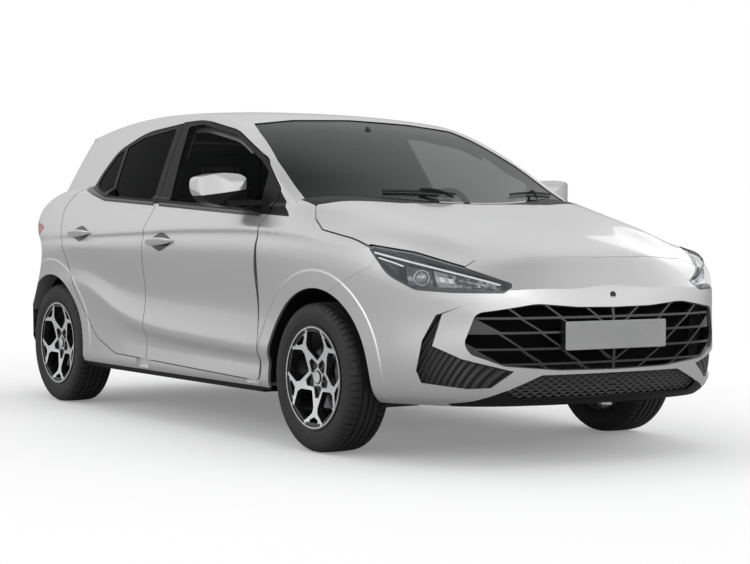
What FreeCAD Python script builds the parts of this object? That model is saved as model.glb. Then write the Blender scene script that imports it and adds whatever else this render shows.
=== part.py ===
import FreeCAD, Part
import math
import os

# Five-door hatchback car, millimetres. +Z is up, the nose points to -Y and the car's left side is +X.
# The origin is on the ground, at the middle of the length and of the width.

V = FreeCAD.Vector

# Overall sizes
LENGTH = 4113.0
WIDTH = 1797.0
HEIGHT = 1502.0
WHEELBASE = 2570.0
FRONT_OVERHANG = 901.5
SKIRT_HEIGHT = 215.0

# Wheels and arches
TYRE_DIAMETER = 621.0
TYRE_WIDTH = 195.0
RIM_DIAMETER = 418.0
TRACK = 1532.0
FRONT_ARCH_GAP = 59.0
REAR_ARCH_GAP = 50.0
FRONT_WELL_INNER = 486.0
REAR_WELL_INNER = 560.0
REAR_FLOOR_X = 766.0

# Walls and gaps
PANEL_THICKNESS = 12.0
LID_THICKNESS = 32.0
WALL_THICKNESS = 92.0
PILLAR_THICKNESS = 58.0
ROOF_THICKNESS = 28.0
DOOR_SKIN = 38.0
LAMP_DEPTH = 60.0
DOOR_STEP = 68.0
SHUT_GAP = 5.0
SEAM_GAP = 0.9
FIT = 0.3
GLASS_THICKNESS = 5.0
GLASS_INSET = 4.0
FLOOR_THICKNESS = 30.0
FLOOR_HEIGHT = 225.0
BOOT_FLOOR = 430.0
EXHAUST_RADIUS = 24.0
TUNNEL_EDGE = 1.0
LINER_THICKNESS = 4.0
FLANGE_WIDTH = 56.0
FRONT_HINGE_POCKET = 80.0
REAR_HINGE_POCKET = 60.5
HINGE_X = -874.0
FRONT_HINGE_Y = -664.0
REAR_HINGE_Y = 388.0
HINGE_LOW = 250.0
HINGE_HIGH = 1000.0
BELT_LINE = 985.0
DOOR_TOP_X = -583.0
SWING_LOW = 940.0
SWING_HIGH = 1330.0
SWING_REAR = -300.0
LINER_BOTTOM = 262.0

# Grille and number plate
GRILLE_LAP = 5.0
GRILLE_EDGE = 4.0
SLAT = 9.0
FIN = 13.0
FIN_PITCH = 176.0
FIN_LEAN = 84.0
PLATE_WIDTH = 520.0
PLATE_HEIGHT = 112.0
PLATE_CENTRE = 513.0
PLATE_HOLE_SPACING = 460.0
PLATE_HOLE_RADIUS = 2.75
INTAKE_FACING = 25.0
LENS_THICKNESS = 4.0
LAMP_WALL = 7.0
DIFFUSER_TOP = 345.0

# Wheels, hubs and front uprights
SPOKES = 5
POCKET_DEPTH = 7.0
CAP_RADIUS = 26.0
DISC_RADIUS = 130.0
HUB_INNER = 22.0
BALL_JOINT_IN = 46.0
STRUT_IN = 130.0
STRUT_TOP = 330.0
ARM_X = 618.0
ENGINE_BOTTOM = 300.0
BAR_TOP = 672.0
BEARING_GAP = 0.4

# Cabin
SEAT_X = 370.0
SEAT_HALF = 250.0
HEAD_REST_HALF = 125.0
REAR_SEAT_HALF = 540.0
DASH_HALF = 640.0
STEER_X = 370.0
STEER_Y = -330.0
STEER_Z = 950.0
STEER_TILT = 66.0
STEER_RING_RADIUS = 170.0
STEER_COLUMN = 136.5

NOSE = -LENGTH / 2
TAIL = LENGTH / 2
FRONT_AXLE = NOSE + FRONT_OVERHANG
REAR_AXLE = FRONT_AXLE + WHEELBASE
TYRE_RADIUS = TYRE_DIAMETER / 2
WHEEL_X = TRACK / 2
WHEEL_OUTER_X = WHEEL_X + TYRE_WIDTH / 2

# The body's stations are drawn on a car of these sizes, and follow the sizes above
DRAWN_HALF_LENGTH = 2056.5
DRAWN_FRONT_AXLE = -1155.0
DRAWN_REAR_AXLE = 1415.0
DRAWN_WIDTH = 1797.0
DRAWN_HEIGHT = 1502.0
DRAWN_SKIRT = 215.0
FAR = 1400.0


def mix(a, b, share):
    return a + (b - a) * share


def read_table(table, at):
    """Straight-line reading of a list of (place, value) pairs."""
    if at <= table[0][0]:
        return table[0][1]
    for (low, low_value), (high, high_value) in zip(table, table[1:]):
        if at <= high:
            return mix(low_value, high_value, (at - low) / (high - low))
    return table[-1][1]


def along(y):
    stops = [
        (-DRAWN_HALF_LENGTH, NOSE),
        (DRAWN_FRONT_AXLE, FRONT_AXLE),
        (DRAWN_REAR_AXLE, REAR_AXLE),
        (DRAWN_HALF_LENGTH, TAIL),
    ]
    if y < -DRAWN_HALF_LENGTH:
        return NOSE + y + DRAWN_HALF_LENGTH
    if y > DRAWN_HALF_LENGTH:
        return TAIL + y - DRAWN_HALF_LENGTH
    return read_table(stops, y)


def across(x):
    return x * WIDTH / DRAWN_WIDTH


def up(z):
    return SKIRT_HEIGHT + (z - DRAWN_SKIRT) * (HEIGHT - SKIRT_HEIGHT) / (DRAWN_HEIGHT - DRAWN_SKIRT)


def place(x, y, z):
    return V(across(x), along(y), up(z))


# Outlines and prisms


def rounded_wire(points, radius):
    """A closed wire through corner points, each corner rounded; radius is one value or one per corner."""
    count = len(points)
    radii = radius if isinstance(radius, (list, tuple)) else [radius] * count
    corners = []
    for i, corner in enumerate(points):
        back = (points[i - 1] - corner)
        ahead = (points[(i + 1) % count] - corner)
        room = 0.49 * min(back.Length, ahead.Length)
        back.normalize()
        ahead.normalize()
        half = back.getAngle(ahead) / 2
        if radii[i] <= 0 or half > math.radians(89.4):
            corners.append((corner, None, corner))
            continue
        setback = min(radii[i] / math.tan(half), room)
        r = setback * math.tan(half)
        middle = back + ahead
        middle.normalize()
        start = corner + back * setback
        end = corner + ahead * setback
        top = corner + middle * (r / math.sin(half) - r)
        corners.append((start, top, end))
    edges = []
    for i, (start, top, end) in enumerate(corners):
        if top is not None:
            edges.append(Part.Arc(start, top, end).toShape())
        following = corners[(i + 1) % count][0]
        if (following - end).Length > 1e-4:
            edges.append(Part.LineSegment(end, following).toShape())
    return Part.Wire(edges)


def offset_outline(points, grow):
    """Corner points moved outwards by grow, for an outline that lies in one plane."""
    if not grow:
        return points
    normal = V(0, 0, 0)
    for i, corner in enumerate(points):
        normal += points[i - 1].cross(corner)
    normal.normalize()
    moved = []
    for i, corner in enumerate(points):
        back = corner - points[i - 1]
        ahead = points[(i + 1) % len(points)] - corner
        back.normalize()
        ahead.normalize()
        side = back.cross(normal) + ahead.cross(normal)
        side.normalize()
        share = max(0.3, side.dot(back.cross(normal)))
        moved.append(corner + side * (grow / share))
    return moved


def turned_out(solid):
    if solid.Volume < 0:
        solid.reverse()
    return solid


def prism(points, radius, run, grow=0.0):
    outline = offset_outline(points, grow)
    return turned_out(Part.Face(rounded_wire(outline, radius)).extrude(run))


def side_prism(outline, radius=0.0, grow=0.0, low=-FAR, high=0.0):
    """A side-view outline of drawn (y, z) points, run across the car from x low to x high."""
    points = [V(low, along(y), up(z)) for y, z in outline]
    return prism(points, radius, V(high - low, 0, 0), grow)


def front_prism(outline, radius=0.0, grow=0.0, low=-2400.0, high=-1000.0):
    """A front-view outline of drawn (x, z) points, run along the car."""
    points = [V(across(x), low, up(z)) for x, z in outline]
    return prism(points, radius, V(0, high - low, 0), grow)


def plan_prism(outline, radius=0.0, grow=0.0, low=-100.0, high=2000.0):
    """A plan-view outline of drawn (x, y) points, run upwards."""
    points = [V(across(x), along(y), low) for x, y in outline]
    return prism(points, radius, V(0, 0, high - low), grow)


def facing_prism(points, angle, radius=0.0, grow=0.0, depth=700.0):
    """An outline of drawn 3-D points, seen along a level direction, run both ways along it."""
    run = V(math.sin(math.radians(angle)), math.cos(math.radians(angle)), 0)
    flat = []
    for x, y, z in points:
        spot = place(x, y, z)
        flat.append(spot - run * spot.dot(run))
    centre = sum(place(*p).dot(run) for p in points) / len(points)
    flat = [p + run * (centre - depth / 2) for p in flat]
    return prism(flat, radius, run * depth, grow)


def mirrored(shape):
    return shape.mirror(V(0, 0, 0), V(1, 0, 0))


def box(low, high):
    size = V(*high) - V(*low)
    return Part.makeBox(size.x, size.y, size.z, V(*low))


def pipe_along_x(radius, x_low, x_high, y, z):
    return Part.makeCylinder(radius, x_high - x_low, V(x_low, y, z), V(1, 0, 0))


def largest(shape):
    return max(shape.Solids, key=lambda solid: solid.Volume)


def fused(first, *others):
    return first.fuse(list(others)).removeSplitter()


# Body surfaces


def clamped(count, degree):
    spans = count - degree
    return list(range(spans + 1)), [degree + 1] + [1] * (spans - 1) + [degree + 1]


def swept(surface, run):
    """The solid that a surface sweeps out along a straight run."""
    return turned_out(surface.toShape().extrude(run))


def net_surface(poles, row_degree=3, column_degree=3):
    surface = Part.BSplineSurface()
    row_knots, row_mults = clamped(len(poles), row_degree)
    column_knots, column_mults = clamped(len(poles[0]), column_degree)
    surface.buildFromPolesMultsKnots(
        poles, row_mults, column_mults, row_knots, column_knots, False, False, row_degree, column_degree
    )
    return surface


# Half plan outline from the nose's centre to the tail's, at the fullest height
PLAN = [
    (0, -2056.5), (210, -2052), (400, -2026), (540, -1988), (650, -1921), (722, -1838), (778, -1738),
    (815, -1610), (842, -1430), (858, -1155), (868, -900), (874, -705), (880, -350), (885, 0), (889, 400),
    (893, 700), (896, 1000), (898.5, 1415), (888, 1640), (856, 1800), (800, 1905), (715, 1972),
    (560, 2020), (300, 2050), (0, 2056.5),
]

# Section tables: (height, inset) from the skirt's lower edge up, keyed by the plan point they belong to
SECTIONS = {
    0: [(215, 92), (245, 34), (275, 14), (330, 8), (400, 3), (470, 0), (560, 2), (620, 12),
        (668, 24), (700, 36), (740, 56), (800, 88), (880, 130), (960, 180)],
    4: [(215, 112), (245, 62), (278, 26), (330, 8), (390, 1), (450, 0), (560, 4), (620, 4),
        (680, 6), (720, 12), (780, 30), (830, 60), (900, 110), (980, 170)],
    6: [(215, 112), (245, 62), (278, 26), (330, 8), (390, 1), (450, 0), (560, 4), (640, 2),
        (700, 0), (760, 4), (830, 14), (880, 40), (940, 84), (1010, 150)],
    9: [(215, 58), (245, 26), (300, 14), (350, 10), (400, 7), (470, 6), (590, 4), (720, 0),
        (830, 1), (870, 6), (905, 8), (950, 34), (1000, 78), (1080, 150)],
    11: [(215, 45), (245, 14), (300, 18), (350, 27), (391, -2), (470, 12), (590, 22), (720, 6),
         (850, -2), (897, 15), (929, 8), (968, 38), (1008, 78), (1090, 150)],
    13: [(215, 45), (245, 14), (300, 20), (370, 29), (420, -3), (490, 12), (600, 24), (720, 6),
         (848, -2), (893, 15), (926, 8), (974, 44), (1028, 90), (1110, 160)],
    14: [(215, 45), (245, 14), (305, 20), (388, 29), (444, -3), (510, 12), (610, 24), (725, 6),
         (842, -2), (880, 15), (908, 8), (966, 42), (1040, 92), (1120, 160)],
    15: [(215, 46), (245, 16), (310, 22), (440, 29), (510, -2), (570, 12), (640, 22), (735, 6),
         (838, -2), (872, 14), (897, 7), (962, 40), (1056, 92), (1130, 155)],
    16: [(215, 48), (245, 18), (315, 22), (560, 24), (655, 2), (700, 8), (740, 8), (790, 2),
         (832, -2), (862, 12), (886, 6), (958, 36), (1080, 92), (1150, 150)],
    17: [(215, 60), (245, 25), (320, 14), (450, 6), (600, 1), (680, 2), (740, 2), (790, 0),
         (832, 2), (856, 8), (880, 8), (960, 34), (1100, 100), (1190, 175)],
    20: [(215, 130), (250, 78), (300, 34), (370, 10), (450, 1), (540, 0), (620, 3), (690, 10),
         (770, 12), (830, 14), (890, 20), (960, 38), (1050, 84), (1140, 150)],
    24: [(215, 122), (250, 70), (300, 30), (370, 7), (450, 0), (540, 0), (612, 4), (655, 30),
         (740, 36), (820, 38), (880, 46), (940, 64), (1010, 100), (1100, 170)],
}
NOSE_LAST = 13
TAIL_FIRST = 10
DOOR_LINE = -712.0
RIGHT = box((-FAR, -2700, -100), (0, 2700, 1800))


def section_at(index):
    keys = sorted(SECTIONS)
    rows = []
    for row in range(len(SECTIONS[0])):
        height = read_table([(key, SECTIONS[key][row][0]) for key in keys], index)
        inset = read_table([(key, SECTIONS[key][row][1]) for key in keys], index)
        rows.append((height, inset))
    return rows


def flat_knots(curve):
    flat = []
    for knot, mult in zip(curve.getKnots(), curve.getMultiplicities()):
        flat += [knot] * mult
    return flat


def band_block(indexes, depth):
    """A closed block between the skirt and the shoulders, for the nose or the tail half of the plan."""
    half = [V(across(PLAN[i][0]), along(PLAN[i][1]), 0) for i in indexes]
    centre_first = abs(half[0].x) < 1e-6
    if not centre_first:
        half.reverse()
        indexes = list(reversed(indexes))
    left = [V(-p.x, p.y, 0) for p in reversed(half[1:])]
    points = left + half
    plan_index = list(reversed(indexes[1:])) + list(indexes)
    curve = Part.BSplineCurve()
    curve.interpolate(points)
    knots = curve.getKnots()
    flat = flat_knots(curve)
    poles = curve.getPoles()
    sign = 1 if centre_first else -1
    columns = []
    for i, pole in enumerate(poles):
        at = sum(flat[i + 1:i + 4]) / 3
        index = read_table(list(zip(knots, plan_index)), at)
        tangent = curve.tangent(at)[0]
        outward = V(tangent.y, -tangent.x, 0) * sign
        if i in (0, len(poles) - 1):
            outward = V(math.copysign(1, pole.x), 0, 0)
        column = []
        for row, (height, inset) in enumerate(section_at(index)):
            z = up(height)
            if row == 0 and depth > 0:
                z = SKIRT_HEIGHT - 60
            if row == len(SECTIONS[0]) - 1:
                z = up(1260)
            spot = pole - outward * (inset + depth)
            column.append(V(spot.x, spot.y, z))
        columns.append(column)
    surface = Part.BSplineSurface()
    row_degree = 2
    row_knots, row_mults = clamped(len(columns[0]), row_degree)
    surface.buildFromPolesMultsKnots(
        columns, curve.getMultiplicities(), row_mults, knots, row_knots, False, False, 3, row_degree
    )
    return close_block(surface)


def close_block(surface):
    """Flat faces at the bottom, the top and the open end turn the U-shaped surface into a solid."""
    u0, u1, v0, v1 = surface.bounds()
    bottom = surface.vIso(v0).toShape()
    top = surface.vIso(v1).toShape()
    start = surface.uIso(u0).toShape()
    end = surface.uIso(u1).toShape()
    corner = {}
    for name, u, v in (("a", u0, v0), ("b", u1, v0), ("c", u0, v1), ("d", u1, v1)):
        corner[name] = surface.value(u, v)
    low_line = Part.makeLine(corner["a"], corner["b"])
    high_line = Part.makeLine(corner["c"], corner["d"])
    faces = [
        surface.toShape(),
        Part.Face(Part.Wire([bottom, low_line])),
        Part.Face(Part.Wire([top, high_line])),
        Part.Face(Part.Wire(Part.__sortEdges__([low_line, end, high_line, start]))),
    ]
    shell = Part.makeShell(faces)
    shell.sewShape()
    return turned_out(Part.makeSolid(shell))


# Bonnet and deck surface: plan columns, then rows of (y on the centre line, sweep share, heights)
TOP_COLUMNS = [0, 150, 300, 430, 540, 640, 730, 800, 860, 930]
TOP_ROWS = [
    (-2110, 1.0, [580, 580, 580, 586, 610, 640, 680, 700, 710, 720]),
    (-2022, 1.0, [704, 704, 705, 712, 734, 768, 808, 832, 838, 825]),
    (-1975, 1.0, [772, 771, 768, 760, 764, 786, 822, 842, 845, 825]),
    (-1930, 1.0, [822, 821, 816, 800, 792, 804, 830, 848, 848, 815]),
    (-1850, 0.95, [860, 858, 852, 826, 822, 838, 852, 862, 852, 800]),
    (-1700, 0.85, [905, 904, 898, 886, 906, 898, 886, 878, 852, 780]),
    (-1550, 0.75, [947, 946, 942, 934, 944, 940, 925, 905, 872, 800]),
    (-1380, 0.7, [986, 985, 982, 979, 985, 982, 962, 934, 894, 820]),
    (-1230, 0.62, [1018, 1017, 1015, 1013, 1018, 1016, 1004, 970, 912, 830]),
    (-1090, 0.55, [1048, 1047, 1045, 1044, 1048, 1048, 1040, 1008, 940, 850]),
    (-950, 0.4, [1075, 1075, 1074, 1072, 1070, 1068, 1058, 1030, 950, 870]),
    (-700, 0.0, [1085, 1085, 1083, 1080, 1076, 1068, 1056, 1030, 950, 870]),
    (0, 0.0, [1110, 1110, 1108, 1104, 1100, 1090, 1080, 1050, 980, 900]),
    (800, 0.0, [1150, 1150, 1148, 1144, 1140, 1130, 1120, 1090, 1010, 930]),
    (1400, 0.0, [1170, 1170, 1168, 1164, 1160, 1155, 1150, 1120, 1040, 960]),
    (1700, -0.1, [1120, 1120, 1118, 1114, 1110, 1105, 1098, 1070, 1000, 940]),
    (1880, -0.4, [1062, 1062, 1060, 1058, 1054, 1048, 1040, 1010, 950, 900]),
    (1965, -0.7, [1000, 1000, 998, 994, 990, 980, 960, 930, 890, 860]),
    (2030, -1.0, [860, 860, 858, 854, 850, 840, 820, 800, 780, 760]),
    (2200, -1.0, [500, 500, 500, 500, 500, 500, 500, 500, 500, 500]),
]
SWEEP_AT = 560.0
SWEEP = 82.0


def below_top(depth):
    poles = []
    for y, share, heights in TOP_ROWS:
        row = []
        for x, height in zip(TOP_COLUMNS, heights):
            sweep = share * SWEEP * (x / SWEEP_AT) ** 4
            row.append(place(x, y + sweep, height) - V(0, 0, depth))
        left = [V(-p.x, p.y, p.z) for p in reversed(row[1:])]
        poles.append(left + row)
    return swept(net_surface(poles), V(0, 0, -1300))


# Cabin surfaces: the windscreen and roof, the sides and the rear screen
ROOF_COLUMNS = [0, 220, 420, 560, 660, 760, 900]
ROOF_ROWS = [
    (-1290, 985, 247, 0.0), (-1071, 1067, 247, 0.0), (-860, 1155, 195, 0.0), (-600, 1264, 140, 0.05),
    (-350, 1366, 95, 0.3), (-150, 1436, 60, 0.7), (60, 1482, 25, 1.0), (400, 1507, 0, 1.0),
    (850, 1500, 0, 1.0), (1250, 1468, 0, 1.0), (1560, 1424, 0, 1.0), (1900, 1364, 0, 1.0),
]
ROOF_CROWN = 21.0
CROWN_AT = 560.0
SIDE_BASE = 802.0
SIDE_LEAN = 0.43
REAR_ROWS = [(1560, 1560), (1420, 1668), (1300, 1745), (1200, 1806), (1100, 1862), (1030, 1905), (900, 1975)]


def below_roof(depth):
    poles = []
    for y, z, bow, crown in ROOF_ROWS:
        row = []
        for x in ROOF_COLUMNS:
            drop = crown * ROOF_CROWN * (x / CROWN_AT) ** 2.4
            row.append(place(x, y + bow * (x / 707.0) ** 2, z - drop) - V(0, 0, depth))
        left = [V(-p.x, p.y, p.z) for p in reversed(row[1:])]
        poles.append(left + row)
    return swept(net_surface(poles), V(0, 0, -1500))


def side_x(y, z):
    ahead = max(0.0, -y - 100) / 900
    behind = max(0.0, y - 500) / 1150
    bulge = 10 * (1 - ((z - 1215) / 230.0) ** 2)
    return SIDE_BASE - SIDE_LEAN * (z - 1030) - 36 * ahead ** 2 - 84 * behind ** 2 + bulge


def inside_of_side(depth):
    poles = []
    for y in (-1500, -1050, -600, -100, 400, 900, 1400, 1900):
        poles.append([place(-side_x(y, z), y, z) + V(depth, 0, 0) for z in (850, 1080, 1320, 1560)])
    return swept(net_surface(poles), V(1700, 0, 0))


def before_rear(depth):
    poles = []
    for z, y in REAR_ROWS:
        row = [place(x, y - 150 * (x / 700.0) ** 2.2, z) - V(0, depth, 0) for x in (0, 250, 480, 640, 760, 900)]
        left = [V(-p.x, p.y, p.z) for p in reversed(row[1:])]
        poles.append(left + row)
    return swept(net_surface(poles), V(0, -4000, 0))


def cabin_block(depth):
    """The right half of the cabin above the waist."""
    room = box((-FAR, -FAR, up(900)), (0, 2200, 1700))
    inside = inside_of_side(depth).common(room)
    return inside.common(below_roof(depth)).common(before_rear(depth))


def side_block(depth):
    """The right half of the tail and of the cabin as one block; the pillars are thinner than the doors."""
    return fused(lower_tail(depth).common(RIGHT), cabin_block(min(depth, PILLAR_THICKNESS)))


def lower_nose(depth):
    nose = band_block(list(range(0, NOSE_LAST + 1)), depth)
    ahead = box((-FAR, -2600, 0), (FAR, along(DOOR_LINE), 1700))
    return nose.common(ahead).common(below_top(depth))


def lower_tail(depth):
    tail = band_block(list(range(TAIL_FIRST, len(PLAN))), depth)
    behind = box((-FAR, along(DOOR_LINE), 0), (FAR, 2600, 1700))
    return tail.common(behind).common(below_top(depth))


# Zones of the body panels, drawn on the right side or across the middle

HOOD_SIDE = [(-2300, 690), (-1855, 740), (-1733, 805), (-1560, 842), (-1355, 887), (-1150, 920),
             (-1062, 962), (-1000, 1010), (-935, 1060), (-935, 1400), (-2300, 1400)]
HOOD_SIDE_RADII = [0, 0, 0, 0, 200, 90, 60, 30, 0, 0, 0]
HOOD_FRONT = [(0, -1930), (-200, -1922), (-362, -1894), (-405, -1880), (-532, -1831), (-600, -1856),
              (-660, -1905), (-1000, -1905)]
HOOD_REAR = [(-1000, -885), (-800, -925), (-700, -1010), (-400, -1122), (0, -1165)]
COWL = [(0, -1210), (-700, -1090), (-742, -985), (-742, -700), (0, -700)]
HEADLAMP = [(-836, -1518, 862), (-754, -1733, 833), (-606, -1855, 779), (-461, -1993, 713),
            (-500, -1976, 681), (-667, -1868, 682), (-756, -1745, 690), (-802, -1620, 745)]
HEADLAMP_FACING = 38.0
BUMPER_SPLIT = [(-2500, -100), (-1155, -100), (-1155, 625), (-1234, 661), (-1542, 782), (-1600, 900),
                (-1600, 1300), (-2500, 1300)]
FRONT_DOOR = [(-727, 264), (-717, 400), (-686, 746), (-707, 919), (-722, 1003), (-722, 1092),
              (-510, 1238), (-160, 1374), (218, 1439), (431, 1434), (376, 1039), (366, 902),
              (364, 789), (356, 564), (350, 290)]
FRONT_DOOR_RADII = [40, 400, 300, 60, 80, 30, 500, 500, 900, 5, 600, 300, 300, 300, 0]
REAR_DOOR = [(350, 290), (356, 564), (364, 789), (366, 902), (376, 1039), (431, 1430),
             (827, 1400), (1108, 1314), (1212, 1207), (1262, 1130), (1375, 1022), (1275, 835),
             (1075, 535), (905, 370), (690, 299)]
REAR_DOOR_RADII = [0, 300, 300, 300, 600, 5, 900, 260, 200, 60, 45, 600, 500, 250, 120]
FRONT_PANE = [(-600, 1004), (-572, 1172), (-497, 1216), (-160, 1352), (218, 1417), (358, 1411),
              (253, 1050), (-170, 1030)]
FRONT_PANE_RADII = [20, 20, 60, 300, 300, 14, 14, 200]
REAR_PANE = [(433, 1056), (487, 1406), (827, 1374), (992, 1330), (938, 1082)]
QUARTER_PANE = [(972, 1092), (1022, 1321), (1092, 1296), (1187, 1196), (1214, 1136)]
SCREEN = [(-728, 1030), (-712, 1075), (-671, 1222), (-600, 1360), (-562, 1407), (-330, 1434), (0, 1446),
          (330, 1434), (562, 1407), (600, 1360), (671, 1222), (712, 1075), (728, 1030)]
ROOF = [(-552, -250), (-552, 1520), (552, 1520), (552, -250)]
# Rubber stops that the closed doors rest against
DOOR_STOPS = [(334, 700), (1160, 716)]
TAILGATE = [(-560, 657), (-622, 760), (-640, 960), (-636, 1090), (-592, 1250), (-569, 1372),
            (-560, 1560), (560, 1560), (569, 1372), (592, 1250), (636, 1090), (640, 960), (622, 760),
            (560, 657)]
TAILGATE_FRONT = 1520.0
REAR_SCREEN = [(-565, 1090), (-548, 1230), (-505, 1352), (505, 1352), (548, 1230), (565, 1090)]
TAIL_LAMP = [(-884, 1560, 920), (-800, 1850, 985), (-646, 1990, 960), (-646, 2000, 790),
             (-760, 1950, 765), (-880, 1690, 800)]
TAIL_LAMP_FACING = 142.0
REAR_SPLIT = [(1700, -100), (1742, 560), (1800, 662), (2500, 662), (2500, -100)]
GRILLE = [(-612, 606), (-373, 640), (-187, 625), (0, 622), (187, 625), (373, 640), (612, 606),
          (651, 484), (628, 444), (510, 399), (272, 378), (0, 374), (-272, 378), (-510, 399),
          (-628, 444), (-651, 484)]
GRILLE_RADII = [40, 300, 600, 0, 600, 300, 40, 60, 30, 60, 300, 0, 300, 60, 30, 60]
LOWER_GRILLE = [(-352, 362), (-505, 300), (-440, 268), (440, 268), (505, 300), (352, 362)]
LIP = [(-700, 100), (-700, 240), (-599, 262), (-505, 300), (-440, 318), (440, 318), (505, 300),
       (599, 262), (700, 240), (700, 100)]
SLATS = [350, 405, 464, 527, 584, 650]
SIDE_INTAKE = [(-652, -1915, 634), (-722, -1835, 595), (-752, -1785, 495), (-764, -1765, 379),
               (-752, -1785, 331), (-634, -1930, 312), (-560, -1978, 316), (-471, -2005, 379),
               (-655, -1915, 428), (-730, -1825, 476), (-706, -1855, 600)]


MIRROR_FRONT = [(-1048, 1098), (-1040, 1142), (-950, 1166), (-850, 1160), (-816, 1128), (-814, 1062),
                (-850, 1020), (-930, 1014), (-1006, 1034)]
MIRROR_PLAN = [(-1050, -415), (-812, -432), (-806, -520), (-850, -572), (-950, -560), (-1034, -500)]
MIRROR_SIDE = [(-412, 1000), (-412, 1180), (-520, 1172), (-560, 1136), (-572, 1090), (-545, 1010)]
MIRROR_ARM = [(-750, -690), (-750, -622), (-860, -500), (-960, -480), (-930, -560), (-850, -600)]


def doubled(outline):
    """A half outline that runs from the centre line outwards, closed by its mirror image."""
    return outline + [(-x, y) for x, y in reversed(outline) if x]


def hood_zone(grow):
    seen_above = plan_prism(doubled(HOOD_FRONT + HOOD_REAR), 0, grow)
    return seen_above.common(side_prism(HOOD_SIDE, HOOD_SIDE_RADII, grow, high=FAR))


def headlamp_zone(grow):
    right = facing_prism(HEADLAMP, HEADLAMP_FACING, [12, 300, 400, 12, 20, 200, 90, 150], grow)
    return right, mirrored(right)


def tail_lamp_zone(grow):
    right = facing_prism(TAIL_LAMP, TAIL_LAMP_FACING, [14, 200, 30, 30, 60, 100], grow, 900)
    return right, mirrored(right)


def wheel_well(axle_y, radius, inner_x):
    centre = TYRE_RADIUS
    lower = V(-FAR, axle_y - radius, centre - 800)
    drum = pipe_along_x(radius, -FAR, -inner_x, axle_y, centre)
    slot = Part.makeBox(FAR - inner_x, 2 * radius, 800, lower)
    well = fused(drum, slot)
    return well.fuse(mirrored(well))


FRONT_ARCH_RADIUS = TYRE_RADIUS + FRONT_ARCH_GAP
REAR_ARCH_RADIUS = TYRE_RADIUS + REAR_ARCH_GAP


# Body blocks, each made once for each depth under the outer surface

made = {}


def block(kind, depth):
    if (kind, depth) not in made:
        maker = {"nose": lower_nose, "tail": lower_tail, "side": side_block, "roof": below_roof,
                 "rear": before_rear, "flank": inside_of_side}[kind]
        made[kind, depth] = maker(depth)
    return made[kind, depth]


nodes = {}


def export(name, shape):
    nodes[name] = shape


def export_pair(name, right):
    nodes[name + "_right"] = right
    nodes[name + "_left"] = mirrored(right)


def both_sides(right):
    return Part.makeCompound([right, mirrored(right)])


front_well = wheel_well(FRONT_AXLE, FRONT_ARCH_RADIUS, FRONT_WELL_INNER)
rear_well = wheel_well(REAR_AXLE, REAR_ARCH_RADIUS, REAR_WELL_INNER)

# Bonnet, nose, front wings and cowl


def front_panels():
    outer = block("nose", 0)
    inner = block("nose", PANEL_THICKNESS)
    hood_open = hood_zone(SHUT_GAP / 2)
    lamps_open = headlamp_zone(SEAM_GAP)
    zone = hood_zone(-SHUT_GAP / 2).cut(list(headlamp_zone(SHUT_GAP)))
    export("hood", largest(outer.common(zone).cut(block("nose", LID_THICKNESS))))
    split = side_prism(BUMPER_SPLIT, 0, 0, high=FAR)
    reach = (NOSE - 150, along(-1830))
    intake = facing_prism(SIDE_INTAKE, INTAKE_FACING, 0, 0, 300)
    skin = outer.common(split).cut([inner, hood_open, front_well, *lamps_open])
    lower = front_prism(LOWER_GRILLE, 14, 0, *reach)
    export("front_lip", largest(skin.common(front_prism(LIP, 0, 0, *reach)).cut(lower)))
    bumper = skin.cut(front_prism(LIP, 0, SEAM_GAP, *reach)).cut(lower)
    for opening in (front_prism(GRILLE, GRILLE_RADII, 0, *reach), intake, mirrored(intake)):
        bumper = bumper.cut(opening)
    export("front_bumper", largest(bumper))
    behind = side_prism(BUMPER_SPLIT, 0, SEAM_GAP, high=FAR)
    wing = outer.common(RIGHT).cut([
        inner, behind, hood_open, front_well, lamps_open[0],
        plan_prism(doubled(COWL), 0, 0), side_prism(FRONT_DOOR, FRONT_DOOR_RADII, SHUT_GAP / 2)])
    export("front_fenders", both_sides(largest(wing)))
    cowl = outer.common(plan_prism(doubled(COWL), 0, -SEAM_GAP))
    export("cowl", largest(cowl.cut([inner, hood_open, block("roof", 0)])))
    lens = outer.common(headlamp_zone(0)[0]).cut(block("nose", LENS_THICKNESS))
    export("headlamps", both_sides(largest(lens)))
    hollow = headlamp_zone(-LAMP_WALL)[0].cut(block("nose", LAMP_DEPTH - LAMP_WALL))
    tray = block("nose", LENS_THICKNESS + FIT).common(headlamp_zone(0)[0]).cut(block("nose", LAMP_DEPTH))
    export("headlamp_housings", both_sides(largest(tray.cut(hollow))))


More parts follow.
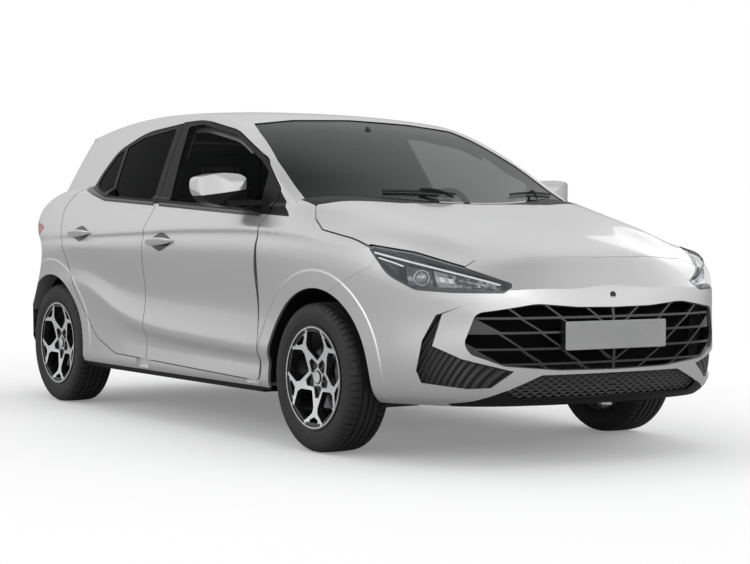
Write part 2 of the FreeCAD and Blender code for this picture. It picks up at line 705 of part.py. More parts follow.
def front_grilles():
    """Lattices that seat against the back of the bumper skin round its openings."""
    lattice = block("nose", PANEL_THICKNESS).cut(block("nose", LID_THICKNESS))
    reach = (NOSE - 150, along(-1830))
    right_half = box((-FAR, NOSE - 200, 0), (-FIN / 2, 0, 1500))
    inside = front_prism(GRILLE, GRILLE_RADII, -GRILLE_EDGE, *reach).common(right_half)
    cells = []
    for row, (low, high) in enumerate(zip(SLATS, SLATS[1:])):
        start = -4 * FIN_PITCH + (row % 2) * FIN_PITCH / 2
        for step in range(5):
            top_x = start + step * FIN_PITCH
            corners = [(top_x + FIN, high - SLAT / 2), (top_x + FIN_PITCH, high - SLAT / 2),
                       (top_x + FIN_PITCH + FIN_LEAN, low + SLAT / 2), (top_x + FIN_LEAN + FIN, low + SLAT / 2)]
            cell = front_prism(corners, 0, 0, *reach).common(inside)
            if cell.Volume > 0:
                cells += [cell, mirrored(cell)]
    grille = lattice.common(front_prism(GRILLE, GRILLE_RADII, GRILLE_LAP, *reach)).cut(cells)
    pad_low = V(-PLATE_WIDTH / 2, NOSE, up(PLATE_CENTRE) - PLATE_HEIGHT / 2)
    pad = Part.makeBox(PLATE_WIDTH, 26, PLATE_HEIGHT, pad_low)
    holes = []
    for side in (-1, 1):
        centre = V(side * PLATE_HOLE_SPACING / 2, NOSE - 20, up(PLATE_CENTRE))
        holes.append(Part.makeCylinder(PLATE_HOLE_RADIUS, 120, centre, V(0, 1, 0)))
    export("grille", largest(fused(grille, pad).cut(holes)))
    lower = lattice.common(front_prism(LOWER_GRILLE, 14, GRILLE_LAP, *reach))
    intake = lattice.common(facing_prism(SIDE_INTAKE, INTAKE_FACING, 0, GRILLE_LAP, 300))
    intake = intake.cut(front_prism(GRILLE, GRILLE_RADII, GRILLE_LAP + FIT, *reach))
    export("lower_grille", Part.makeCompound([largest(lower), *both_sides(largest(intake)).Solids]))


# Sides with their openings, and the doors that close them


def side_frames():
    tools = [block("side", WALL_THICKNESS), rear_well, tail_lamp_zone(SEAM_GAP)[0]]
    recess = block("side", DOOR_SKIN + SHUT_GAP)
    stops = []
    for y, z in DOOR_STOPS:
        probe = pipe_along_x(9, -FAR, across(-780), along(y), up(z)).cut(block("side", DOOR_SKIN))
        end = probe.optimalBoundingBox().XMax + FIT
        stops.append(pipe_along_x(9, end, across(-770), along(y), up(z)))
    for outline, radii in ((FRONT_DOOR, FRONT_DOOR_RADII), (REAR_DOOR, REAR_DOOR_RADII)):
        tools.append(side_prism(outline, radii, SHUT_GAP / 2, high=DOOR_TOP_X).cut([recess, *stops]))
        tools.append(side_prism(outline, radii, -FLANGE_WIDTH))
    for y, radius in ((FRONT_HINGE_Y, FRONT_HINGE_POCKET), (REAR_HINGE_Y, REAR_HINGE_POCKET)):
        foot = V(across(HINGE_X), along(y), up(HINGE_LOW))
        tools.append(Part.makeCylinder(radius, up(HINGE_HIGH) - up(HINGE_LOW), foot))
    corner = box((-FAR, -FAR, up(SWING_LOW)), (0, along(SWING_REAR), up(SWING_HIGH)))
    tools.append(side_prism(FRONT_DOOR, FRONT_DOOR_RADII, SHUT_GAP / 2).common(corner))
    tools.append(front_prism(TAILGATE, 40, SHUT_GAP / 2, along(TAILGATE_FRONT), TAIL + 300))
    tools.append(side_prism(REAR_SPLIT, 0, SEAM_GAP, high=FAR))
    tools.append(plan_prism(ROOF, 0, SEAM_GAP, 1000))
    tools.append(front_prism(SCREEN, 30, SEAM_GAP, -1600, 200))
    tools.append(block("nose", 0))
    export_pair("side_frame", largest(block("side", 0).cut(tools)))


def pane(surfaces, zone):
    """Glass of even thickness let into the opening that the zone cuts."""
    inner = block(surfaces, GLASS_INSET + GLASS_THICKNESS)
    return largest(block(surfaces, GLASS_INSET).common(zone).cut(inner))


def doors():
    core_limit = box((-FAR, -2000, 0), (0, 2000, up(BELT_LINE)))
    for name, outline, radii, windows in (
        ("front", FRONT_DOOR, FRONT_DOOR_RADII, [(FRONT_PANE, FRONT_PANE_RADII)]),
        ("rear", REAR_DOOR, REAR_DOOR_RADII, [(REAR_PANE, 14), (QUARTER_PANE, 14)]),
    ):
        openings = [side_prism(window, window_radii) for window, window_radii in windows]
        core = side_prism(outline, radii, -DOOR_STEP).common(core_limit)
        slab = side_prism(outline, radii, -SHUT_GAP / 2, high=DOOR_TOP_X - SHUT_GAP).cut(rear_well)
        door = block("side", 0).common(slab).cut(block("side", WALL_THICKNESS))
        door = door.cut(block("side", DOOR_SKIN).cut(core))
        for opening in openings:
            door = door.cut(opening)
        export_pair(name + "_door", largest(door))
        panes = [pane("flank", opening) for opening in openings]
        export_pair(name + "_glass", Part.makeCompound(panes) if len(panes) > 1 else panes[0])


def roof_and_tail():
    seam_y = along(TAILGATE_FRONT)
    screen_zone = front_prism(SCREEN, 30, SEAM_GAP, -1600, 200)
    roof_zone = plan_prism(ROOF, 0, 0, 1000).common(box((-FAR, -900, 1000), (FAR, seam_y - SHUT_GAP / 2, 1700)))
    roof = block("roof", 0).common(roof_zone).cut([block("roof", ROOF_THICKNESS), screen_zone])
    export("roof_panel", largest(roof))
    gate_open = front_prism(TAILGATE, 40, SHUT_GAP / 2, seam_y, TAIL + 300)
    rear_zone = side_prism(REAR_SPLIT, 0, 0, high=FAR)
    skin = block("tail", 0).common(rear_zone).cut([block("tail", PANEL_THICKNESS), rear_well, gate_open])
    lower_edge = up(DIFFUSER_TOP)
    export("rear_diffuser", largest(skin.common(box((-FAR, 0, -100), (FAR, 2600, lower_edge)))))
    bumper = skin.cut(box((-FAR, 0, -100), (FAR, 2600, lower_edge + SEAM_GAP)))
    stops = []
    for side in (-1, 1):
        stop_top = up(TAILGATE[0][1]) + SHUT_GAP / 2 - FIT
        stops.append(box((side * 320 - 20, TAIL - 70, 600), (side * 320 + 20, TAIL + 50, stop_top)))
    stop = fused(*stops).common(block("tail", 4))
    export("rear_bumper", fused(largest(bumper), stop))
    gate_zone = front_prism(TAILGATE, 40, -SHUT_GAP / 2, seam_y + SHUT_GAP, TAIL + 300)
    screen = front_prism(REAR_SCREEN, 50, 0, seam_y + 60, TAIL + 300)
    upper = block("rear", 0).common(gate_zone).common(block("roof", 0))
    room = block("rear", DOOR_SKIN).common(block("roof", DOOR_SKIN))
    gate = fused(block("tail", 0).common(gate_zone), upper).cut([block("tail", DOOR_SKIN), room, screen])
    export("tailgate", largest(gate))
    export("rear_window", pane("rear", screen))
    lamp = block("side", 0).common(tail_lamp_zone(0)[0]).cut([block("side", WALL_THICKNESS), gate_open])
    export("tail_lamps", both_sides(largest(lamp)))
    windscreen = pane("roof", front_prism(SCREEN, 30, 0, -1600, 200)).cut(block("nose", 0))
    export("windshield", largest(windscreen))


# Cabin


def floor_and_liners():
    t = FLOOR_THICKNESS
    z = FLOOR_HEIGHT
    top = BOOT_FLOOR
    upper = [(-705, 880), (-705, 500), (-600, z + t), (780, z + t), (860, top), (1950, top)]
    lower = [(1950, top - t), (880, top - t), (800, z), (-620, z), (-730, 480), (-730, 880)]
    points = [V(-FAR, along(y), height) for y, height in upper + lower]
    slab = prism(points, 0, V(FAR, 0, 0))
    foot = z - TUNNEL_EDGE
    tunnel = side_prism([(-700, foot), (-700, 400), (500, 340), (780, 300), (780, foot)], 0, 0, -120, 0)
    hollow = side_prism([(-760, foot - 1), (-760, 370), (480, 310), (790, 270), (790, foot - 1)], 0, 0, -95, 0)
    narrow = box((-FAR, REAR_AXLE - REAR_ARCH_RADIUS - LINER_THICKNESS - 1, 0),
                 (-REAR_WELL_INNER + LINER_THICKNESS, TAIL, 1000))
    beside_door = box((-FAR, along(790), z + 40), (-REAR_FLOOR_X, REAR_AXLE, top + 10))
    right = fused(slab, tunnel).cut([hollow, narrow, beside_door]).common(block("side", WALL_THICKNESS))
    right = largest(right)
    export("floor_pan", largest(fused(right, mirrored(right))))
    liners = []
    for axle, radius, inner, limit in (
        (FRONT_AXLE, FRONT_ARCH_RADIUS, FRONT_WELL_INNER, block("nose", PANEL_THICKNESS)),
        (REAR_AXLE, REAR_ARCH_RADIUS, REAR_WELL_INNER, block("side", WALL_THICKNESS)),
    ):
        outside = pipe_along_x(radius + LINER_THICKNESS, -FAR, -inner + LINER_THICKNESS, axle, TYRE_RADIUS)
        inside = pipe_along_x(radius, -FAR, -inner, axle, TYRE_RADIUS)
        above = box((-FAR, axle - 600, LINER_BOTTOM), (0, axle + 600, 1000))
        liner = outside.cut(inside).common(above).common(limit)
        if axle == FRONT_AXLE:
            liner = liner.cut(Part.makeBox(60, 240, 700, V(-inner - 20, axle - 120, 0)))
        else:
            liner = liner.cut(box((-ARM_X - 50, axle - 520, 0), (-inner + 20, axle - 190, TYRE_RADIUS + 40)))
        liners.append(largest(liner))
    export("arch_liners", Part.makeCompound(liners + [mirrored(liner) for liner in liners]))


def seat(x, half_width):
    """One front seat: cushion, reclined back and head restraint in one outline run across the car."""
    cushion = [(-190, 330), (-200, 500), (-150, 535), (250, 490), (330, 500), (480, 1080), (560, 1060),
               (430, 470), (400, 330)]
    head = [(468, 1050), (470, 1230), (510, 1250), (560, 1230), (566, 1040)]
    radii = [30, 40, 60, 60, 60, 40, 40, 60, 60]
    points = [V(x - half_width, along(y), up(z)) for y, z in cushion]
    body = prism(points, radii, V(2 * half_width, 0, 0))
    points = [V(x - HEAD_REST_HALF, along(y), up(z)) for y, z in head]
    return fused(body, prism(points, 20, V(2 * HEAD_REST_HALF, 0, 0)))


def cabin_furniture():
    seats = [seat(-SEAT_X, SEAT_HALF), seat(SEAT_X, SEAT_HALF)]
    export("front_seats", Part.makeCompound(seats))
    bench = [(880, 430.3), (860, 560), (900, 600), (1230, 540), (1380, 1060), (1460, 1040), (1340, 430.3)]
    points = [V(-REAR_SEAT_HALF, along(y), up(z)) for y, z in bench]
    export("rear_seat", prism(points, 40, V(2 * REAR_SEAT_HALF, 0, 0)))
    dash = [(-920, 881), (-900, 1020), (-640, 1030), (-520, 990), (-500, 900), (-560, 760), (-704.7, 700),
            (-704.7, 881)]
    points = [V(-DASH_HALF, along(y), up(z)) for y, z in dash]
    dash = prism(points, [0, 20, 60, 40, 40, 60, 0, 0], V(2 * DASH_HALF, 0, 0))
    export("dashboard", largest(dash))


def steering_wheel():
    ring = Part.makeTorus(STEER_RING_RADIUS, 15)
    hub = Part.makeCylinder(46, 36, V(0, 0, -40))
    shape = ring.fuse(hub)
    for angle in (0, 90, 180):
        arm = Part.makeBox(STEER_RING_RADIUS - 30, 44, 14, V(30, -22, -22))
        arm.rotate(V(0, 0, 0), V(0, 0, 1), angle)
        shape = shape.fuse(arm)
    column = Part.makeCylinder(20, STEER_COLUMN, V(0, 0, -40 - STEER_COLUMN))
    shape = shape.fuse(column)
    shape.rotate(V(0, 0, 0), V(1, 0, 0), -STEER_TILT)
    shape.translate(V(STEER_X, along(STEER_Y), up(STEER_Z)))
    export("steering_wheel", shape)


# Machinery under the floor and under the bonnet


def round_bar(radius, points, bend=60.0):
    """A round bar along straight runs joined by arcs."""
    edges = []
    at = points[0]
    for corner, after in zip(points[1:], points[2:]):
        back = at - corner
        ahead = after - corner
        back.normalize()
        ahead.normalize()
        half = back.getAngle(ahead) / 2
        setback = bend / math.tan(half)
        middle = back + ahead
        middle.normalize()
        start = corner + back * setback
        end = corner + ahead * setback
        edges.append(Part.LineSegment(at, start).toShape())
        edges.append(Part.Arc(start, corner + middle * (bend / math.sin(half) - bend), end).toShape())
        at = end
    edges.append(Part.LineSegment(at, points[-1]).toShape())
    path = Part.Wire(edges)
    first = points[1] - points[0]
    section = Part.Wire(Part.makeCircle(radius, points[0], first))
    return turned_out(path.makePipeShell([section], True, False))


def machinery():
    engine = box((-330, FRONT_AXLE - 420, ENGINE_BOTTOM), (360, FRONT_AXLE + 60, 800))
    export("engine", engine)
    front = NOSE + 205
    core = box((-320, front, 330), (320, front + 40, BAR_TOP))
    bar = box((-FAR, front, BAR_TOP - 50), (FAR, front + 40, BAR_TOP)).common(block("nose", PANEL_THICKNESS))
    stops = []
    for side in (-1, 1):
        post = Part.makeCylinder(10, 600, V(side * 400, front + 20, BAR_TOP - 20)).common(block("nose", LID_THICKNESS))
        post.translate(V(0, 0, -FIT))
        stops.append(post)
    export("radiator", fused(core, bar, *stops))
    y = FRONT_AXLE
    rails = [box((-360, y - 60, 190), (360, y + 20, 250)), box((-360, y + 200, 190), (360, y + 270, 250)),
             box((-360, y - 60, 190), (-300, y + 270, 250)), box((300, y - 60, 190), (360, y + 270, 250))]
    for side in (-1, 1):
        tip = side * (WHEEL_X - BALL_JOINT_IN + 20)
        rails.append(box((min(side * 340, tip), y - 25, 172), (max(side * 340, tip), y + 25, 200)))
        rails.append(box((side * 230 - 40, y - 60, 245), (side * 230 + 40, y + 20, ENGINE_BOTTOM - FIT)))
        rails.append(box((side * 330 - 30, y + 260, 195), (side * 330 + 30, along(-580), FLOOR_HEIGHT - FIT)))
    export("front_subframe", fused(rails[0], *rails[1:]))
    axle_z = TYRE_RADIUS
    parts = [pipe_along_x(38, -ARM_X, ARM_X, REAR_AXLE - 250, axle_z - 30)]
    for side in (-1, 1):
        arm = box((-32, REAR_AXLE - 480, axle_z - 70), (32, REAR_AXLE + 60, axle_z + 10))
        arm.translate(V(side * ARM_X, 0, 0))
        foot = box((-32, REAR_AXLE - 480, axle_z - 10), (32, REAR_AXLE - 420, BOOT_FLOOR - FLOOR_THICKNESS - FIT))
        foot.translate(V(side * ARM_X, 0, 0))
        tip = side * (WHEEL_X - HUB_INNER - BEARING_GAP)
        spindle = pipe_along_x(30, min(side * ARM_X, tip), max(side * ARM_X, tip), REAR_AXLE, axle_z)
        parts += [arm, foot, spindle]
    export("rear_axle", fused(parts[0], *parts[1:]))
    tank_top = BOOT_FLOOR - FLOOR_THICKNESS - FIT
    export("fuel_tank", box((-430, REAR_AXLE - 520, 215), (430, REAR_AXLE - 320, tank_top)))
    z = FLOOR_HEIGHT - TUNNEL_EDGE - FIT - EXHAUST_RADIUS
    pipe = round_bar(EXHAUST_RADIUS, [V(0, FRONT_AXLE + 320, z), V(0, REAR_AXLE - 700, z),
                                      V(-480, REAR_AXLE - 640, z), V(-480, REAR_AXLE + 150, z)], 90)
    export("exhaust", pipe)


# Wheels, built about the wheel's centre with the outer face towards -X


def tyre():
    half = TYRE_WIDTH / 2
    seat_radius = RIM_DIAMETER / 2
    outline = [(-half + 12, seat_radius), (-half, seat_radius + 36), (-half + 3, TYRE_RADIUS - 22),
               (-half + 20, TYRE_RADIUS), (half - 20, TYRE_RADIUS), (half - 3, TYRE_RADIUS - 22),
               (half, seat_radius + 36), (half - 12, seat_radius)]
    points = [V(x, 0, r) for x, r in outline]
    face = Part.Face(rounded_wire(points, [0, 40, 60, 14, 14, 60, 40, 0]))
    return turned_out(face.revolve(V(0, 0, 0), V(1, 0, 0), 360))


def wheel():
    half = TYRE_WIDTH / 2
    rim_radius = RIM_DIAMETER / 2
    barrel = [(-half + 9, rim_radius + 9), (-half + 12, rim_radius), (half - 12, rim_radius),
              (half - 12, rim_radius - 9), (-half + 26, rim_radius - 9), (-half + 4, rim_radius - 6),
              (-half + 3, rim_radius + 9)]
    ring = Part.Face(rounded_wire([V(x, 0, r) for x, r in barrel], 0)).revolve(V(0, 0, 0), V(1, 0, 0), 360)
    dish = [(-half + 30, 0), (-half + 30, 60), (-half + 12, rim_radius - 30), (-half + 8, rim_radius - 7),
            (-half + 34, rim_radius - 7), (-half + 40, rim_radius - 30), (-half + 56, 80), (-half + 62, 0)]
    face = Part.Face(rounded_wire([V(x, 0, r) for x, r in dish], 0)).revolve(V(0, 0, 0), V(1, 0, 0), 360)
    disc = turned_out(face)
    face_x = -half + 30
    wide = wheel_window([(0.33, 0), (0.60, 28.5), (0.72, 28.5), (0.935, 15.5)], [10, 16, 16, 12], -half + 92)
    fork = wheel_window([(0.78, 0), (0.935, 17)], [4, 7], -half + 92)
    pocket = wheel_window([(0.42, 0), (0.335, 15.5), (0.215, 24)], [3, 4, 4], face_x + POCKET_DEPTH)
    turn = 360 / SPOKES
    for spoke in range(SPOKES):
        for window, start in ((wide, 0), (fork, turn / 2), (pocket, turn / 2)):
            cutter = window.copy()
            cutter.rotate(V(0, 0, 0), V(1, 0, 0), spoke * turn + start)
            disc = disc.cut(cutter)
    cap = pipe_along_x(CAP_RADIUS, face_x - 5, face_x + 5, 0, 0)
    hub = pipe_along_x(68, -half + 50, -20, 0, 0)
    rotor = pipe_along_x(DISC_RADIUS, -20, 0, 0, 0)
    hub_inner = pipe_along_x(44, -31, HUB_INNER, 0, 0)
    return fused(turned_out(ring), disc, hub, cap, rotor, hub_inner)


def wheel_window(half_outline, radii, depth):
    """A symmetric opening in the wheel's face, from (share of the rim's radius, degrees) points."""
    points = []
    for share, angle in half_outline + [(share, -angle) for share, angle in reversed(half_outline) if angle]:
        turn = math.radians(angle)
        radius = share * RIM_DIAMETER / 2
        points.append(V(-200, radius * math.sin(turn), radius * math.cos(turn)))
    both = radii + radii[:0:-1]
    return prism(points, both, V(depth + 200, 0, 0))


def wheels():
    tyre_shape = tyre()
    wheel_shape = wheel()
    for end, axle in (("front", FRONT_AXLE), ("rear", REAR_AXLE)):
        for kind, shape in (("tyre", tyre_shape), ("wheel", wheel_shape)):
            right = shape.copy()
            right.translate(V(-WHEEL_X, axle, TYRE_RADIUS))
            export_pair(end + "_" + kind, right)


def knuckles():
    """The steered upright with its caliper, ball joint boss and strut, about the wheel's centre."""
    inner = HUB_INNER + BEARING_GAP
    upright = box((inner, -55, -95), (inner + 34, 55, 120))
    caliper = box((-34, -150, -50), (inner + 30, -80, 60)).cut(pipe_along_x(DISC_RADIUS + 6, -26, 6, 0, 0))
    arm = box((inner + 4, -30, 100), (STRUT_IN + 10, 30, 150))
    strut = Part.makeCylinder(27, STRUT_TOP - 60, V(STRUT_IN, 0, 60))
    boss = Part.makeCylinder(22, 30, V(inner + 17, 0, -110))
    link = box((inner + 2, -82, -40), (inner + 30, -50, 40))
    shape = fused(upright, caliper, arm, strut, boss, link)
    shape.translate(V(-WHEEL_X, FRONT_AXLE, TYRE_RADIUS))
    export_pair("knuckle", largest(shape))


def door_mirrors():
    """Door mirror: a tapered housing on an arm that stands on the front corner of the door."""
    ahead = front_prism(MIRROR_FRONT, [30, 36, 300, 40, 20, 30, 60, 300, 60], 0, along(-700), along(-300))
    above = plan_prism(MIRROR_PLAN, [14, 20, 40, 80, 200, 60], 0, 900, 1300)
    aside = side_prism(MIRROR_SIDE, [16, 16, 60, 50, 50, 60], 0, -FAR, 0)
    housing = ahead.common(above).common(aside)
    arm = plan_prism(MIRROR_ARM, [0, 0, 30, 8, 8, 30], 0, up(1022), up(1046))
    shape = fused(housing, arm).cut(block("side", 0))
    export_pair("mirror", largest(shape))


front_panels()
front_grilles()
side_frames()
doors()
roof_and_tail()
floor_and_liners()
cabin_furniture()
steering_wheel()
machinery()
wheels()
knuckles()
door_mirrors()

os.makedirs("parts", exist_ok=True)
for name, shape in nodes.items():
    shape.exportStep("parts/" + name + ".step")
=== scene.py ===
import bpy
import bmesh
import math
from mathutils import Matrix, Vector
from mathutils.bvhtree import BVHTree


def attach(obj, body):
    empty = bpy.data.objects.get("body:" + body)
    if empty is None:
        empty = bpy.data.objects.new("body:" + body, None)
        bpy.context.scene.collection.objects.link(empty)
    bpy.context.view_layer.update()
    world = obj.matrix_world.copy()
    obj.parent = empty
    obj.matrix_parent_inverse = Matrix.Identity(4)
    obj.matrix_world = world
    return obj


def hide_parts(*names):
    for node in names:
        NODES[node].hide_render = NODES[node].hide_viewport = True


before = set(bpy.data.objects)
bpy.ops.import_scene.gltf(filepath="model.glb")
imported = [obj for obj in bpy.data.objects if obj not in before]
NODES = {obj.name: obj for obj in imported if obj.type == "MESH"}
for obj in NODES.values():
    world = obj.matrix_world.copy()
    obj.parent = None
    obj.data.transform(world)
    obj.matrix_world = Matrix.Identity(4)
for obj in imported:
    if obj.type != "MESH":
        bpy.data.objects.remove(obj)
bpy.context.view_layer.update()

# The car's main lines, in metres, in the model's frame
FRONT_AXLE = -1.155
REAR_AXLE = 1.415
WHEEL_X = 0.766
WHEEL_Z = 0.3105
WHEEL_SPOTS = [("front", "right", -1, FRONT_AXLE), ("front", "left", 1, FRONT_AXLE),
               ("rear", "right", -1, REAR_AXLE), ("rear", "left", 1, REAR_AXLE)]
SIDES = [("right", 1), ("left", -1)]

# Lines and places that several pieces share
BELT_Z, BELT_RISE = 1.0185, 0.05
REAR_BELT_Z, REAR_BELT_RISE, BELT_BEND = 0.8784, 0.2, 0.938
SILL_EDGE = 0.240
PLATE_Z = 0.513
GRILLE_NOSE, GRILLE_BOW = -2.05, 0.355
NUT_CIRCLE, NUT_BASE = 0.045, 0.0605


# Materials


def new_material(name):
    mat = bpy.data.materials.new(name)
    mat.use_nodes = True
    shader = mat.node_tree.nodes["Principled BSDF"]
    return mat, mat.node_tree, shader


def set_inputs(shader, values):
    for name, value in values.items():
        shader.inputs[name].default_value = value


def noise_node(tree, scale, detail=3.0):
    coord = tree.nodes.new("ShaderNodeTexCoord")
    noise = tree.nodes.new("ShaderNodeTexNoise")
    noise.inputs["Scale"].default_value = scale
    noise.inputs["Detail"].default_value = detail
    tree.links.new(coord.outputs["Object"], noise.inputs["Vector"])
    return noise


def ranged(tree, source, low, high, start=0.3, end=0.7):
    node = tree.nodes.new("ShaderNodeMapRange")
    set_inputs(node, {"From Min": start, "From Max": end, "To Min": low, "To Max": high})
    tree.links.new(source, node.inputs["Value"])
    return node.outputs["Result"]


def maths(tree, operation, first, second=None):
    node = tree.nodes.new("ShaderNodeMath")
    node.operation = operation
    for slot, value in zip(node.inputs, (first, second)):
        if value is None:
            continue
        if isinstance(value, (int, float)):
            slot.default_value = value
        else:
            tree.links.new(value, slot)
    return node.outputs[0]


def times(tree, first, second):
    return maths(tree, "MULTIPLY", first, second)


def plus(tree, first, second):
    return maths(tree, "ADD", first, second)


def distance(tree, first, second):
    return maths(tree, "SQRT", plus(tree, times(tree, first, first), times(tree, second, second)))


def split_axes(tree, source="Object"):
    coord = tree.nodes.new("ShaderNodeTexCoord")
    parts = tree.nodes.new("ShaderNodeSeparateXYZ")
    tree.links.new(coord.outputs[source], parts.inputs[0])
    return parts.outputs


def car_axes(tree):
    """The place on the car: distance from the middle, length and height."""
    x, y, z = split_axes(tree)
    return maths(tree, "ABSOLUTE", x), y, z


def mixed(tree, factor, first, second):
    """The first colour where the factor is 0, and the second, a plain one, where it is 1."""
    mix = tree.nodes.new("ShaderNodeMix")
    mix.data_type = "RGBA"
    tree.links.new(factor, mix.inputs["Factor"])
    tree.links.new(first, mix.inputs[6])
    mix.inputs[7].default_value = (*second, 1)
    return mix.outputs[2]


def ramp(tree, source, stops):
    """A colour read from a row of (place, colour) stops."""
    node = tree.nodes.new("ShaderNodeValToRGB")
    elements = node.color_ramp.elements
    for place, colour in stops[1:-1]:
        elements.new(place)
    for element, (place, colour) in zip(elements, stops):
        element.position = place
        element.color = (*colour, 1)
    tree.links.new(source, node.inputs["Fac"])
    return node.outputs["Color"]


def region(tree, axes, planes, edge=0.0006):
    """1 inside all the half spaces, given as (a, b, c, d): a|x| + by + cz > d."""
    inside = None
    for a, b, c, d in planes:
        total = None
        for weight, axis in zip((a, b, c), axes):
            if weight:
                term = times(tree, axis, weight)
                total = term if total is None else plus(tree, total, term)
        step = ranged(tree, total, 0.0, 1.0, d - edge, d + edge)
        inside = step if inside is None else times(tree, inside, step)
    return inside


def tinted(tree, noise, colour, tint):
    dark = [max(0.0, c * (1 - tint)) for c in colour]
    light = [min(1.0, c * (1 + tint)) for c in colour]
    return ramp(tree, noise.outputs["Fac"], [(0.3, dark), (0.7, light)])


def surface(name, colour, rough=0.5, metal=0.0, coat=0.0, tint=0.04, scale=30.0, rough_change=0.05,
            bump=0.0, bump_scale=400.0, alpha=1.0, ior=1.5, glow=0.0, gloss_level=0.5):
    """A shader whose colour, gloss and fine relief vary a little over the surface."""
    mat, tree, shader = new_material(name)
    noise = noise_node(tree, scale)
    tree.links.new(tinted(tree, noise, colour, tint), shader.inputs["Base Color"])
    dull = ranged(tree, noise.outputs["Fac"], max(0.0, rough - rough_change), min(1.0, rough + rough_change))
    tree.links.new(dull, shader.inputs["Roughness"])
    set_inputs(shader, {"Metallic": metal, "Coat Weight": coat, "Coat Roughness": 0.04, "IOR": ior,
                        "Alpha": alpha, "Specular IOR Level": gloss_level})
    if glow:
        set_inputs(shader, {"Emission Color": (1, 1, 1, 1), "Emission Strength": glow})
    if bump:
        fine = noise_node(tree, bump_scale, 2.0)
        relief(tree, shader, fine.outputs["Fac"], bump, 0.001)
    return mat


def relief(tree, shader, height, strength, depth):
    node = tree.nodes.new("ShaderNodeBump")
    set_inputs(node, {"Strength": strength, "Distance": depth})
    tree.links.new(height, node.inputs["Height"])
    tree.links.new(node.outputs["Normal"], shader.inputs["Normal"])


PAINT_COLOUR = (0.60, 0.597, 0.595)
PAINT_METAL = 0.72
PAINT_ROUGH = 0.30
PAINT_COAT = 0.7
BLACK_ROUGH = 0.34
ARCH_RINGS = ((FRONT_AXLE, 0.449), (REAR_AXLE, 0.446))
BLACK_COLOUR = (0.010, 0.010, 0.011)


def painted(name, black=(), arches=False):
    """Silver paint under a clear coat, black in some regions, with raised rings round the arches."""
    mat, tree, shader = new_material(name)
    noise = noise_node(tree, 1400.0, 2.0)
    colour = tinted(tree, noise, PAINT_COLOUR, 0.03)
    rough = ranged(tree, noise.outputs["Fac"], PAINT_ROUGH - 0.02, PAINT_ROUGH + 0.02)
    axes = car_axes(tree) if black or arches else None
    dark = None
    for planes in black:
        part = region(tree, axes, planes)
        dark = part if dark is None else maths(tree, "MAXIMUM", dark, part)
    if dark is None:
        set_inputs(shader, {"Metallic": PAINT_METAL, "Coat Weight": PAINT_COAT})
    else:
        colour = mixed(tree, dark, colour, BLACK_COLOUR)
        tree.links.new(ranged(tree, dark, PAINT_METAL, 0.0, 0.0, 1.0), shader.inputs["Metallic"])
        tree.links.new(ranged(tree, dark, PAINT_COAT, 0.0, 0.0, 1.0), shader.inputs["Coat Weight"])
        rough = plus(tree, rough, times(tree, dark, BLACK_ROUGH - PAINT_ROUGH))
    tree.links.new(colour, shader.inputs["Base Color"])
    tree.links.new(rough, shader.inputs["Roughness"])
    set_inputs(shader, {"Coat Roughness": 0.03, "Specular IOR Level": 0.08})
    if arches:
        height = None
        for axle, radius in ARCH_RINGS:
            far = distance(tree, plus(tree, axes[1], -axle), plus(tree, axes[2], -WHEEL_Z))
            ring = ranged(tree, far, 1.0, 0.0, radius - 0.010, radius)
            height = ring if height is None else maths(tree, "MAXIMUM", height, ring)
        relief(tree, shader, height, 0.8, 0.006)
    return mat


# Black regions of the paint, each inside all its half spaces
ABOVE_BELT = (0, -BELT_RISE, 1, BELT_Z)
WINDOW_BLACK = [[ABOVE_BELT, (0, -REAR_BELT_RISE, 1, REAR_BELT_Z)]]
SAIL_BLACK = [[ABOVE_BELT, (0, 0.65, -1, -1.555), (0, -1, 0, 0.70)], [(0, 0, -1, -SILL_EDGE)]]
MIRROR_BLACK = [[(-0.16, 0, -1, -1.2285)], [(-1, 0, 0, -0.829)]]

PAINT = painted("paint_silver")
PAINT_SIDE = painted("paint_silver_side", arches=True)
PAINT_DOOR = painted("paint_door", WINDOW_BLACK, True)
PAINT_FRAME = painted("paint_frame", SAIL_BLACK, True)
PAINT_MIRROR = painted("paint_mirror", MIRROR_BLACK)
BLACK_GLOSS = surface("black_gloss", (0.006, 0.006, 0.007), 0.16, 0.0, 0.4, 0.2, 60.0, 0.03)
BLACK_PLASTIC = surface("black_plastic", (0.006, 0.006, 0.0065), 0.5, 0.0, 0.0, 0.15, 80.0, 0.08, 0.25,
                        900.0, gloss_level=0.2)
RUBBER = surface("rubber_seal", (0.010, 0.010, 0.010), 0.6, 0.0, 0.0, 0.15, 60.0, 0.1, 0.1, 700.0)
CLEAR_GLASS = surface("glass_clear", (0.004, 0.006, 0.006), 0.01, 0.0, 0.0, 0.1, 5.0, 0.008, alpha=0.62,
                      gloss_level=0.22)
SIDE_GLASS = surface("glass_side", (0.001, 0.0012, 0.0012), 0.01, 0.0, 0.0, 0.1, 5.0, 0.008, alpha=0.30,
                     ior=1.07)
DARK_GLASS = surface("glass_dark", (0.001, 0.0012, 0.0012), 0.015, 0.0, 0.0, 0.1, 5.0, 0.01, alpha=0.99,
                     ior=1.06)
LENS = surface("lamp_lens", (0.30, 0.32, 0.33), 0.02, 0.0, 0.0, 0.05, 8.0, 0.01, alpha=0.12, ior=1.5)
RED_LENS = surface("lamp_red", (0.24, 0.006, 0.010), 0.08, 0.0, 0.8, 0.15, 40.0, 0.03)
ALLOY_BLACK = surface("alloy_black", (0.010, 0.010, 0.011), 0.26, 0.0, 0.5, 0.2, 60.0, 0.06)
CAST = surface("cast_alloy", (0.10, 0.10, 0.105), 0.45, 0.6, 0.0, 0.15, 60.0, 0.12, 0.35, 500.0)
STEEL = surface("steel_dark", (0.05, 0.05, 0.052), 0.5, 0.5, 0.0, 0.25, 25.0, 0.12, 0.3, 300.0)
